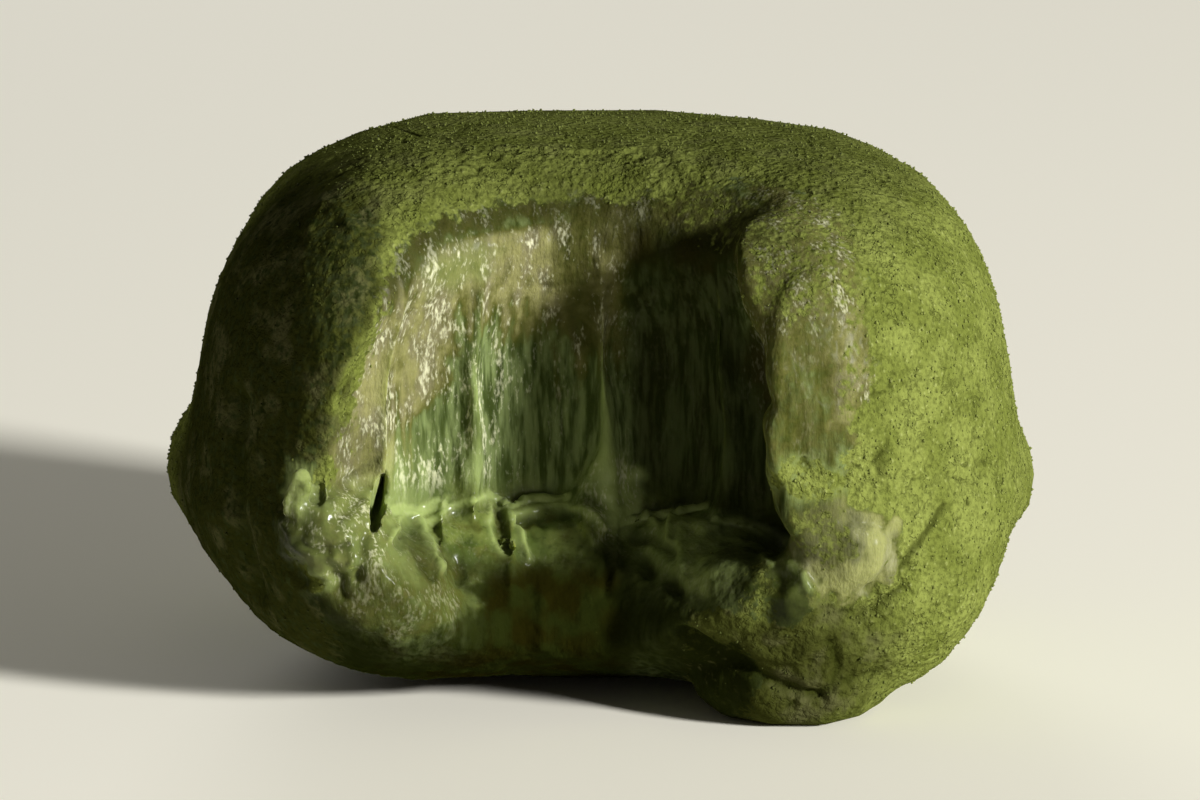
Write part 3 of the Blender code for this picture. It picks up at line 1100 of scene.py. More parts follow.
def mesh_object(name: str, points: Array, faces: Array) -> bpy.types.Object:
    """Makes an object from points in millimetres and faces that all have as many corners.

    Args:
        name: the object's name.
        points: rows of X, Y and Z.
        faces: rows of point numbers.

    Returns:
        The object, shaded smooth.
    """
    corners = faces.shape[1]
    mesh = bpy.data.meshes.new(name)
    mesh.vertices.add(len(points))
    mesh.vertices.foreach_set("co", (points * MM).astype(np.float32).ravel())
    mesh.loops.add(faces.size)
    mesh.loops.foreach_set("vertex_index", faces.astype(np.int32).ravel())
    mesh.polygons.add(len(faces))
    mesh.polygons.foreach_set("loop_start", np.arange(0, faces.size, corners, dtype=np.int32))
    mesh.update(calc_edges=True)
    mesh.validate()
    mesh.shade_smooth()
    obj = bpy.data.objects.new(name, mesh)
    bpy.context.scene.collection.objects.link(obj)
    return obj


def store(obj: bpy.types.Object, name: str, values: Array) -> None:
    """Keeps one number for each of a mesh's points, for its material to read."""
    layer = obj.data.attributes.new(name, "FLOAT", "POINT")
    layer.data.foreach_set("value", values.astype(np.float32))


# --- shader nodes as expressions ---------------------------------------------------------------


@dataclass(frozen=True)
class Value:
    """A number or colour in a material. Arithmetic on it adds the nodes that do the same."""

    writer: Writer
    socket: bpy.types.NodeSocket

    def maths(self, operation: str, first: Any, second: Any = 0.0) -> Value:
        """Adds a Math node on two operands."""
        return self.writer.node("ShaderNodeMath", {"operation": operation}, {0: first, 1: second})

    def __add__(self, other: Value | float) -> Value:
        """Sum."""
        return self.maths("ADD", self, other)

    __radd__ = __add__

    def __mul__(self, other: Value | float) -> Value:
        """Product."""
        return self.maths("MULTIPLY", self, other)

    __rmul__ = __mul__

    def __sub__(self, other: Value | float) -> Value:
        """Difference."""
        return self.maths("SUBTRACT", self, other)

    def __rsub__(self, other: float) -> Value:
        """Difference from a plain number, as in 1 - mask."""
        return self.maths("SUBTRACT", other, self)

    def size(self) -> Value:
        """Size without its sign."""
        return self.maths("ABSOLUTE", self)

    def stepped(self, low: float, high: float) -> Value:
        """A soft step from 0 at low to 1 at high."""
        inputs = {"Value": self, "From Min": low, "From Max": high}
        return self.writer.node("ShaderNodeMapRange", {"interpolation_type": "SMOOTHSTEP"}, inputs)


@dataclass(frozen=True)
class Texture:
    """Cloudy unevenness in a material.

    Attributes:
        size: how far apart its clouds are, in millimetres.
        detail: how many finer layers it has.
        tall: how many times taller than wide its clouds are.
    """

    size: float
    detail: float = 2.0
    tall: float = 1.0


@dataclass(frozen=True)
class Writer:
    """Writes one material's nodes."""

    tree: bpy.types.NodeTree

    def node(
        self, kind: str, settings: dict[str, Any], inputs: dict[str | int, Any], output: str | int = 0
    ) -> Value:
        """Adds any node.

        Args:
            kind: the node's type.
            settings: its properties, which are set first.
            inputs: what goes into its sockets, by name or number: a Value or a plain value.
            output: the output that is wanted.

        Returns:
            That output.
        """
        made = self.tree.nodes.new(kind)
        for name, value in settings.items():
            setattr(made, name, value)
        for key, value in inputs.items():
            if isinstance(value, Value):
                self.tree.links.new(value.socket, made.inputs[key])
            else:
                made.inputs[key].default_value = value
        return Value(self, made.outputs[output])

    def surface(self, shader: Value) -> None:
        """Makes a shader the material's surface."""
        end = self.tree.nodes.new("ShaderNodeOutputMaterial")
        self.tree.links.new(shader.socket, end.inputs["Surface"])

    def mask(self, mask: Mask) -> Value:
        """Reads a mask that is kept with the mesh's points."""
        return self.node("ShaderNodeAttribute", {"attribute_name": mask.value}, {}, "Fac")

    def places(self, tall: float = 1.0) -> Value:
        """The point's own place in millimetres, as if the dango were this many times less tall.

        Args:
            tall: how many times less tall.

        Returns:
            The place, to feed a texture.
        """
        coordinates = self.node("ShaderNodeTexCoord", {}, {}, "Object")
        scale = [1.0 / MM, 1.0 / MM, 1.0 / (MM * tall)]
        return self.node("ShaderNodeVectorMath", {"operation": "MULTIPLY"}, {0: coordinates, 1: scale})

    def noise(self, texture: Texture) -> Value:
        """A texture's unevenness, from 0 to 1.

        Args:
            texture: what to sample.

        Returns:
            The unevenness as a value.
        """
        places, scale = self.places(texture.tall), 1.0 / texture.size
        inputs = {"Vector": places, "Scale": scale, "Detail": texture.detail}
        return self.node("ShaderNodeTexNoise", {}, inputs, "Fac")

    def crumbs(self, size: float) -> Value:
        """Packed grains: 0 at a grain's middle, rising to its edge."""
        inputs = {"Vector": self.places(), "Scale": 1.0 / size}
        return self.node("ShaderNodeTexVoronoi", {}, inputs, "Distance")

    def mix(self, factor: Value | float, first: Value | Colour, second: Value | Colour) -> Value:
        """Blends two colours."""
        ends = [end if isinstance(end, Value) else (*end, 1.0) for end in (first, second)]
        return self.node("ShaderNodeMix", {"data_type": "RGBA"}, {0: factor, 6: ends[0], 7: ends[1]}, 2)

    def bump(self, height: Value, distance: float, strength: float) -> Value:
        """Fine relief in the shading, this many millimetres deep."""
        inputs = {"Height": height, "Distance": distance * MM, "Strength": strength}
        return self.node("ShaderNodeBump", {}, inputs)


def tint(red: int, green: int, blue: int) -> Colour:
    """A colour given as it looks on a screen, from 0 to 255, as the linear light that shaders use."""
    return tuple((part / 255.0) ** 2.2 for part in (red, green, blue))


@dataclass(frozen=True)
class PowderFinish:
    """Dry green tea powder, caked on the skin.

    Numbers in its expressions are shares of a mix, or where the share of a texture begins and ends.
    """

    bright: Colour = tint(150, 156, 96)
    light: Colour = tint(118, 126, 64)
    middle: Colour = tint(100, 108, 51)
    deep: Colour = tint(46, 50, 21)
    shaded_dusky: Colour = tint(49, 51, 24)
    greyish: Colour = tint(84, 84, 56)
    roughness: float = 0.9
    fine: Texture = Texture(0.32, 4.0)
    clouds: Texture = Texture(3.0, 3.0)
    smears: Texture = Texture(2.6, 4.0)
    creases: Texture = Texture(0.8, 3.0)
    creased: Texture = Texture(2.4)
    crumb: float = 0.512
    relief: float = 0.26

    def shader(self, writer: Writer) -> Value:
        """The finish as a Principled shader.

        Args:
            writer: adds the nodes.

        Returns:
            The shader.
        """
        dull, hollow = writer.mask(Mask.DULL), writer.mask(Mask.HOLLOW)
        fine, clouds, smears = (writer.noise(each) for each in (self.fine, self.clouds, self.smears))
        flat = (writer.noise(self.creases) - 0.5).size().stepped(0.0, 0.05)
        flat = 1 - (1 - flat) * writer.noise(self.creased).stepped(0.48, 0.62)
        crumbs = 1 - writer.crumbs(self.crumb)
        base = writer.mix(clouds.stepped(0.36, 0.64), self.middle, self.light)
        base = writer.mix((1 - fine.stepped(0.25, 0.6)) * 0.5, base, self.deep)
        # painted shade in the fine creases
        base = writer.mix((1 - flat) * 0.3, base, self.deep)
        base = writer.mix(crumbs.stepped(0.62, 0.95) * fine.stepped(0.48, 0.6) * 0.5, base, self.bright)
        # painted shade on the dull skin that faces away from the key, over its thin powder
        base = writer.mix(dull * 0.97, base, self.shaded_dusky)
        base = writer.mix(smears.stepped(0.48, 0.66) * dull * 0.7, base, self.greyish)
        # painted shade in cracks and pits
        base = writer.mix(hollow.stepped(0.1, 0.9) * 0.8, base, self.deep)
        height = (fine + 0.7 * crumbs + 0.25 * flat) * (1 - 0.3 * dull)
        inputs = {
            "Base Color": base,
            "Roughness": self.roughness,
            "Specular IOR Level": 0.0,
            "Normal": writer.bump(height, self.relief, 1.0),
        }
        return writer.node("ShaderNodeBsdfPrincipled", {}, inputs)


@dataclass(frozen=True)
class DoughFinish:
    """Moist, slightly see-through rice dough, coloured green by the tea.

    Numbers in its expressions are shares of a mix, or where the share of a texture begins and ends.
    """

    green: Colour = tint(106, 118, 74)
    deep_green: Colour = tint(56, 66, 33)
    beige: Colour = tint(129, 127, 82)
    greyish: Colour = tint(112, 108, 80)
    # the painted glints' colour
    pale: Colour = tint(206, 206, 170)
    olive: Colour = tint(74, 75, 32)
    brown: Colour = tint(30, 29, 11)
    brown_green: Colour = tint(33, 37, 16)
    moist_green: Colour = tint(104, 114, 58)
    moist_deep: Colour = tint(70, 82, 38)
    thin_green: Colour = tint(144, 158, 96)
    streaks: Texture = Texture(0.5, 3.0, 7.0)
    glint_specks: Texture = Texture(0.2, 4.0, 2.4)
    clusters: Texture = Texture(1.5, 3.0, 2.2)
    clouds: Texture = Texture(2.2, 3.0)
    stains: Texture = Texture(1.2, 4.0)
    spots: Texture = Texture(0.4, 4.0)
    fibres: Texture = Texture(0.34, 2.0, 6.0)
    grains: Texture = Texture(0.18, 2.0, 1.8)
    swell: Texture = Texture(0.7)
    relief: float = 0.12
    relief_strength: float = 0.8
    roughness: float = 0.75
    film_roughness: float = 0.22
    film_ior: float = 1.4
    scatter: float = 0.25
    scatter_reach: float = 1.6
    scatter_colours: Colour = (0.9, 1.0, 0.4)

    def colour(self, writer: Writer) -> Value:
        """The dough's colour over the whole skin.

        Args:
            writer: adds the nodes.

        Returns:
            The colour.
        """
        beige, wet, deep = writer.mask(Mask.BEIGE), writer.mask(Mask.WET), writer.mask(Mask.DEEP)
        streaks, glint_specks = writer.noise(self.streaks), writer.noise(self.glint_specks)
        clusters, clouds = writer.noise(self.clusters), writer.noise(self.clouds)
        stains, spots = writer.noise(self.stains), writer.noise(self.spots)
        uneven = 0.5 * (stains - 0.5) + 0.5 * (spots - 0.5)
        moist = writer.mix(clouds.stepped(0.38, 0.62), self.moist_deep, self.moist_green)
        moist = writer.mix(stains.stepped(0.5, 0.72) * 0.7, moist, self.olive)
        moist = writer.mix(spots.stepped(0.56, 0.7) * 0.5, moist, self.deep_green)
        base = writer.mix(streaks.stepped(0.35, 0.65), self.deep_green, self.green)
        base = writer.mix(wet, base, moist)
        base = writer.mix((beige + uneven).stepped(0.0, 0.6), base, self.olive)
        cream = writer.mix(clusters.stepped(0.4, 0.6), self.beige, self.greyish)
        base = writer.mix((beige + uneven).stepped(0.3, 1.1), base, cream)
        # thin dough is paler, partly as painted highlight on lit edges
        base = writer.mix(writer.mask(Mask.THIN) * 0.8, base, self.thin_green)
        # painted glints: pale flecks where the fibres would catch the light
        bright = (0.9 * clusters + glint_specks).stepped(0.98, 1.26) * (0.1 + 0.9 * writer.mask(Mask.GLINT))
        base = writer.mix(bright * 0.8, base, self.pale)
        browns = writer.mix(clouds.stepped(0.4, 0.6), self.brown, self.brown_green)
        # brown dough, with painted shade low on the lip and under it
        base = writer.mix(writer.mask(Mask.BROWN), base, browns)
        # painted shade on the far wall and along groove lines
        base = writer.mix(deep * 0.75, base, browns)
        # dull skin, with painted shade where it faces away from the key
        return writer.mix(writer.mask(Mask.DULL) * 0.84, base, self.brown_green)

    def shader(self, writer: Writer) -> Value:
        """The finish as a Principled shader: a soft body, and a moist film where it is wet.

        Args:
            writer: adds the nodes.

        Returns:
            The shader.
        """
        beige, wet = writer.mask(Mask.BEIGE), writer.mask(Mask.WET)
        fibres, grains, swell = (writer.noise(each) for each in (self.fibres, self.grains, self.swell))
        height = (fibres + grains * (0.3 + 0.6 * beige)) * (1 - 0.8 * wet) + swell
        film = (0.6 * wet * wet + 0.07 * beige * beige) * (1 - writer.mask(Mask.BROWN))
        inputs = {
            "Base Color": self.colour(writer),
            "Roughness": self.roughness,
            "Specular IOR Level": 0.0,
            "Coat Weight": film * (1 - writer.mask(Mask.DEEP)),
            "Coat Roughness": self.film_roughness,
            "Coat IOR": self.film_ior,
            "Subsurface Weight": self.scatter,
            "Subsurface Radius": self.scatter_colours,
            "Subsurface Scale": self.scatter_reach * MM,
            "Normal": writer.bump(height, self.relief, self.relief_strength),
        }
        return writer.node("ShaderNodeBsdfPrincipled", {}, inputs)


def new_material(name: str) -> tuple[bpy.types.Material, Writer]:
    """An empty material and the writer of its nodes.

    Args:
        name: what it is called.

    Returns:
        The material, and its writer.
    """
    material = bpy.data.materials.new(name)
    material.use_nodes = True
    material.node_tree.nodes.clear()
    return material, Writer(material.node_tree)


# --- the pieces --------------------------------------------------------------------------------


class Spots:
    """The skin's points, with what the finishes there depend on."""

    def __init__(self, form: DoughForm, points: Array) -> None:
        """Works out each point's place, depth and unevenness.

        Args:
            form: the whole bitten form.
            points: the skin's points.
        """
        self.points = points
        self.x, self.y, self.z = points.T
        self.bite = form.bite
        self.skin = form.whole(points)
        self.inward = np.minimum(self.skin, 1.0) * -1.0 + form.bite.leftover(points, False)
        self.angle = form.bite.seen_from_middle(points)[1]
        self.ragged = Noise(1.3, seed=5, octaves=3).at(points)
        self.patchy = Noise(4.0, seed=6, octaves=2).at(points)
        self.drawn = Noise((0.7, 0.7, 9.0), seed=9, octaves=2).at(points)


@dataclass(frozen=True)
class Zones:
    """Where each finish lies over the skin.

    A step is named for what it bounds. A last x, y or z in its name is the axis that it runs along, and
    a last in is the depth inside the bite's rim. A factor of ragged, patchy or drawn is how far that
    unevenness shifts a step, and other factors are how strong one share is beside the rest.
    """

    front_y: Step = Step(-3.0, -7.0)
    above_lip_z: Step = Step(13.0, 15.5)
    bitten_in: Step = Step(0.0, 2.2)
    bare_in: Step = Step(-0.6, 2.6)
    kept_left_x: Step = Step(-9.0, -12.5, 1.2)
    kept_left_z: Step = Step(29.0, 25.0)
    lost_right_x: Step = Step(4.0, 10.0, 4.6)
    lost_right_z: Step = Step(19.0, 23.0)
    chin_x: Step = Step(-17.5, -14.5)
    chin_far_x: Step = Step(6.5, 4.0)
    chin_y: Step = Step(-4.0, -8.0)
    chin_z: Step = Step(10.5, 8.0)
    chin_gaps: Step = Step(-1.7, -1.2)
    dull_from_x: float = -13.4
    dull_middle_z: Step = Step(27.0, 22.0, 2.2)
    dull_lower_z: Step = Step(19.0, 15.0, 2.0)
    dull_foot_z: Step = Step(9.5, 6.5, 4.0)
    dull_x: Step = Step(0.6, -1.4)
    dull_y: Step = Step(4.0, -6.0)
    dull_z: Step = Step(35.5, 31.0)
    # painted shade on the top, which the low key light only grazes
    shade_top_z: Step = Step(29.0, 33.0, 0.4)
    pale_wall_x: Step = Step(3.0, -0.5)
    pale_wall_z: Step = Step(21.0, 28.5)
    pale_wall_in: Step = Step(2.6, 4.2)
    lowest_pale_x: float = -9.0
    pale_left_x: Step = Step(-11.8, -13.6)
    pale_left_in: Step = Step(-0.6, 2.0)
    pale_right_x: Step = Step(8.0, 11.0)
    pale_right_z: Step = Step(17.0, 21.0)
    pale_right_in: Step = Step(-5.0, -3.0)
    valley_depth: float = 2.0
    valley_width: float = 1.6
    valley_x: Step = Step(8.0, 4.0)
    valley_z: Step = Step(24.5, 27.5)
    web_z: Step = Step(28.0, 20.0)
    crest_gap: Step = Step(0.3, 0.05)
    crest_z: Step = Step(10.2, 10.8)
    corner_x: Step = Step(-10.0, -13.0)
    corner_z: Step = Step(19.0, 14.0)
    brown_level: float = 10.8
    brown_left_x: float = -2.5
    brown_left_fall: float = 0.24
    brown_right_x: float = 1.0
    brown_right_run: float = 5.0
    brown_right_fall: float = 0.5
    brown_down: Step = Step(1.2, -3.6)
    brown_z: Step = Step(12.5, 11.5)
    paler_left_x: Step = Step(-5.0, -10.0, 0.5)
    paler_left_z: Step = Step(2.0, 5.0)
    paler_right_x: Step = Step(0.0, 3.0, 0.75)
    brown_power: float = 2.6
    over_pinch: Step = Step(0.0, 0.8)
    deep_x: Step = Step(0.8, 2.6)
    deep_in: Step = Step(2.0, 4.0)
    shallow_x: Step = Step(8.0, 9.2)
    shallow_z: Step = Step(23.0, 25.5)
    wet_z: Step = Step(15.0, 11.5)
    glint_x: Step = Step(-1.0, -8.0, 0.8)

    def chin(self, at: Spots) -> Array:
        """How far thin powder under the lip lets the dough show, 0 to 1; the brown adds painted shade."""
        share = self.chin_z(at.z) * self.chin_y(at.y) * self.chin_x(at.x) * self.chin_far_x(at.x)
        return share * self.chin_gaps(at.patchy + 0.5 * at.ragged)

    def bare(self, at: Spots) -> Array:
        """How bare of powder the bite leaves the skin, least on the left and most at the upper right.

        Args:
            at: the points, and what is known of them.

        Returns:
            A share for each point.
        """
        kept = self.kept_left_x(at.x) * self.kept_left_z(at.z)
        kept = kept - self.lost_right_x(at.x) * self.lost_right_z(at.z)
        return self.bare_in(at.inward + 0.8 * at.ragged - kept) * self.front_y(at.y)

    def dull(self, at: Spots) -> Array:
        """How dull the left skin is: it took little powder, and it carries painted shade besides.

        Args:
            at: the points, and what is known of them.

        Returns:
            A share for each point.
        """
        border = self.dull_from_x - self.dull_middle_z(at.z) - self.dull_lower_z(at.z)
        border = border + self.dull_foot_z(at.z)
        dull = self.dull_x(at.x + at.patchy + 0.6 * at.ragged - border)
        return dull * self.dull_y(at.y) * self.dull_z(at.z)

    def shaded_valley(self, at: Spots) -> Array:
        """How fully a point lies in the painted shade strip, olive and brown, just inside the upper rim."""
        share = hump(at.inward + 0.8 * at.ragged, self.valley_depth, self.valley_width)
        return share * self.valley_z(at.z) * self.valley_x(at.x) * self.front_y(at.y)

    def beige(self, at: Spots, above_lip: Array) -> Array:
        """The stretched pale dough: high on the wall, and down its left and right sides.

        Args:
            at: the points, and what is known of them.
            above_lip: how fully each point is above the lip.

        Returns:
            A share for each point.
        """
        high = at.z + 2.0 * at.patchy + 4.0 * at.drawn + 0.3 * np.abs(at.x - self.lowest_pale_x)
        wall = self.pale_wall_z(high) * self.pale_wall_x(at.x + 0.8 * at.patchy)
        left = self.pale_left_x(at.x + 0.8 * at.patchy + 1.2 * at.drawn)
        right = self.pale_right_x(at.x + 0.8 * at.patchy) * self.pale_right_z(at.z)
        beige = np.maximum(wall, 0.75 * right) * self.pale_wall_in(at.inward + 0.6 * at.patchy)
        beige = np.maximum(beige, left * self.pale_left_in(at.inward + 0.5 * at.patchy))
        return np.maximum(beige, 0.55 * right * self.pale_right_in(at.inward)) * above_lip

    def thin(self, at: Spots, above_lip: Array) -> Array:
        """Thin paler dough and painted highlight: teeth's webs, the pinched crest, the lower left corner.

        Args:
            at: the points, and what is known of them.
            above_lip: how fully each point is above the lip.

        Returns:
            A share for each point.
        """
        webs = at.bite.webs(at.angle, at.z) * self.web_z(at.z) * above_lip
        crest = self.crest_gap(at.bite.crest(at.points)) * self.crest_z(at.z)
        corner = self.corner_x(at.x + at.patchy) * self.corner_z(at.z)
        return np.clip(0.6 * webs + crest + 0.6 * corner, 0.0, 1.0)

    def brown(self, at: Spots, bitten: Array) -> Array:
        """Brown dough and painted shade low on the lip and under it: its level falls to both sides.

        Args:
            at: the points, and what is known of them.
            bitten: how fully each point is inside the bite.

        Returns:
            A share for each point.
        """
        level = self.brown_level - self.brown_left_fall * np.clip(self.brown_left_x - at.x, 0.0, None)
        rightwards = np.clip(at.x - self.brown_right_x, 0.0, self.brown_right_run)
        level = level - self.brown_right_fall * rightwards
        lip = self.brown_down(at.z + 0.8 * at.patchy + 0.4 * at.ragged - level)
        lip = lip * self.brown_z(at.z) * bitten
        darker = 1.0 - self.paler_left_x(at.x + at.patchy) * self.paler_left_z(at.z)
        darker = darker * (1.0 - self.paler_right_x(at.x))
        return 1.0 - (1.0 - np.maximum(lip, self.chin(at)) * darker) ** self.brown_power

    def deep(self, at: Spots) -> Array:
        """Painted shade on the far part of the wall, on the right, down to the pinched line.

        Args:
            at: the points, and what is known of them.

        Returns:
            A share for each point.
        """
        over_pinch = self.over_pinch(at.z - at.bite.pinch_at(at.angle)) * self.front_y(at.y)
        deep = self.deep_x(at.x + 0.6 * at.patchy) * self.deep_in(at.inward) * over_pinch
        return deep * (1.0 - self.shallow_x(at.x) * self.shallow_z(at.z))

    def masks(self, at: Spots) -> dict[Mask, Array]:
        """Works out how each finish lies over the skin.

        Args:
            at: the skin's points.

        Returns:
            One number for each point, for each mask.
        """
        above_lip = self.above_lip_z(at.z) * self.front_y(at.y)
        bitten = self.bitten_in(at.inward + 0.6 * at.ragged) * self.front_y(at.y)
        dull, shaded_valley, brown = self.dull(at), self.shaded_valley(at), self.brown(at, bitten)
        beige = np.maximum(self.beige(at, above_lip), 0.5 * shaded_valley)
        masks = {
            Mask.POWDER: (1.0 - self.bare(at)) * (1.0 - self.chin(at)) * (1.0 - 0.4 * dull),
            Mask.BEIGE: beige,
            Mask.WET: self.wet_z(at.z + 0.8 * at.patchy) * bitten * (1.0 - 0.4 * brown),
            Mask.BROWN: np.maximum(brown, 0.6 * shaded_valley),
            Mask.DULL: np.maximum(dull, self.shade_top_z(at.z + at.patchy)),
            Mask.DEEP: self.deep(at),
            Mask.THIN: self.thin(at, above_lip) * bitten,
            Mask.GLINT: np.maximum(beige, self.glint_x(at.x + at.patchy) * above_lip * bitten),
        }
        for part in PATCHES:
            part.paint(masks, at.points, at.skin, 0.8 * at.ragged)
        # a mark's tone paints highlight along raised edges, and shade along grooves
        for mark in MARKS:
            close = mark.near(at.points)
            mask = Mask.THIN if mark.tone > 0.0 else Mask.DEEP
            share = abs(mark.tone) * mark.share(at.points[close])
            masks[mask][close] = np.maximum(masks[mask][close], share)
        return masks


@dataclass(frozen=True)
class Relief:
    """The skin's finer relief: each unevenness, and how far it moves the skin."""

    swell: Noise = Noise(9.0, 11)
    swell_height: float = 0.28
    dent: Noise = Noise(4.2, 12)
    dent_height: float = 0.16
    crumb: Noise = Noise(0.75, 13)
    crumb_height: float = 0.07
    crumb_middle: float = 0.55
    grain: Noise = Noise(0.8, 14, 2)
    grain_height: float = 0.08
    crack: Noise = Noise((2.4, 2.4, 1.6), 15)
    crack_slope: float = 10.0
    crack_bend: float = 0.8
    crack_bend_size: float = 1.6
    crack_bend_seed: int = 20
    cracked: Noise = Noise(6.0, 16, 2)
    cracked_share: Step = Step(0.0, 0.45)
    crack_depth: float = 0.7
    pit: Noise = Noise(0.8, 17, 2)
    pitted: Noise = Noise(3.0, 7)
    pitted_share: float = 0.4
    pit_share: Step = Step(0.8, 1.15, 0.6)
    hollow_powder: Step = Step(0.2, 0.8)
    hollow_depth: float = 0.22
    drag: Noise = Noise((0.6, 0.6, 5.5), 18, 2)
    drag_height: float = 0.09
    soft: Noise = Noise(1.0, 19, 3)
    soft_height: float = 0.05
    wet_height: float = 0.1
    mark_hollow: float = 0.8
    off_ground: Step = Step(0.1, 2.0)

    def hollows(self, points: Array, powder: Array) -> Array:
        """How deep in a crack or pit of the powder each point is, from 0 to 1.

        Args:
            points: rows of X, Y and Z.
            powder: how fully powder covers each point.

        Returns:
            A share for each point.
        """
        bent = points + self.crack_bend * swayed(points, self.crack_bend_size, self.crack_bend_seed)
        line = np.clip(1.0 - np.abs(self.crack.at(bent)) * self.crack_slope, 0.0, 1.0)
        cracks = line * self.cracked_share(self.cracked.at(points))
        pits = self.pit_share(self.pit.at(points) + self.pitted_share * self.pitted.at(points))
        return np.clip(self.crack_depth * cracks + pits, 0.0, 1.0) * self.hollow_powder(powder)

    def at(self, points: Array, masks: dict[Mask, Array]) -> tuple[Array, Array]:
        """Works out the relief.

        Args:
            points: the skin's points.
            masks: how the finishes lie.

        Returns:
            How far each point moves outwards, and how deep in a crack or pit it is.
        """
        powder, wet = masks[Mask.POWDER], masks[Mask.WET]
        broad = self.swell_height * self.swell.at(points) + self.dent_height * self.dent.at(points)
        crumbs = self.crumb_height * (self.crumb_middle - self.crumb.nearest(points))
        crumbs = crumbs + self.grain_height * self.grain.at(points)
        hollow = self.hollows(points, powder)
        drag = self.drag_height * self.drag.at(points)
        soft = (self.soft_height + self.wet_height * wet * wet) * self.soft.at(points)
        move = broad + powder * (crumbs - self.hollow_depth * hollow)
        move = move + (1.0 - powder) * ((1.0 - wet) * drag + soft)
        for mark in MARKS:
            close = mark.near(points)
            share = mark.share(points[close])
            move[close] += mark.height * share
            # a groove also fills the hollow mask, which paints shade in it
            if mark.height < 0.0:
                hollow[close] = np.maximum(hollow[close], self.mark_hollow * share)
        return move * self.off_ground(points[:, 2]), hollow


@dataclass
class Dough:
    """The dough itself: one skin, with its relief and the masks for its finishes."""

    form: DoughForm = field(default_factory=DoughForm)
    lattice: Lattice = field(default_factory=Lattice)
    zones: Zones = field(default_factory=Zones)
    relief: Relief = field(default_factory=Relief)
    name: str = "dango_dough"
    breaks: Texture = Texture(0.45, 4.0)
    masks: dict[Mask, Array] = field(default_factory=dict)
    points: Array | None = None
    normals: Array | None = None
    faces: Array | None = None
    piece: bpy.types.Object | None = None

    def build(self) -> None:
        """Makes the skin."""
        points, self.faces = self.lattice.skin(self.form)
        self.normals = self.form.normals(points)
        self.masks = self.zones.masks(Spots(self.form, points))
        move, self.masks[Mask.HOLLOW] = self.relief.at(points, self.masks)
        points = points + move[:, None] * self.normals
        points[:, 2] = np.maximum(points[:, 2], 0.0)
        self.points = self.settled(points)
        self.piece = mesh_object(self.name, self.points, self.faces)
        for mask, values in self.masks.items():
            store(self.piece, mask.value, values)

    def settled(self, points: Array) -> Array:
        """Moves the skin so that it stands where the frame's solid does.

        Args:
            points: rows of X, Y and Z.

        Returns:
            The moved points.
        """
        low, high = (np.array(corner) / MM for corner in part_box(NODE))
        middle = (points.min(0) + points.max(0)) / 2.0
        shift = (low + high) / 2.0 - middle
        shift[2] = 0.0
        return points + shift.astype(np.float32)

    def dress(self) -> None:
        """Gives the skin its finishes: powder over dough."""
        material, writer = new_material("matcha_over_dough")
        breaks = writer.noise(self.breaks)
        share = (1.2 * writer.mask(Mask.POWDER) + 1.6 * (breaks - 0.5)).stepped(0.42, 0.8)
        finishes = {0: share, 1: DoughFinish().shader(writer), 2: PowderFinish().shader(writer)}
        shader = writer.node("ShaderNodeMixShader", {}, finishes)
        writer.surface(shader)
        self.piece.data.materials.append(material)
        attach(self.piece, BODY)
        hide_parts(NODE)


SPIKES = ((1, 0, 0), (-1, 0, 0), (0, 1, 0), (0, -1, 0), (0, 0, 1), (0, 0, -1))
SIDES = ((0, 2, 4), (2, 1, 4), (1, 3, 4), (3, 0, 4), (2, 0, 5), (1, 2, 5), (3, 1, 5), (0, 3, 5))


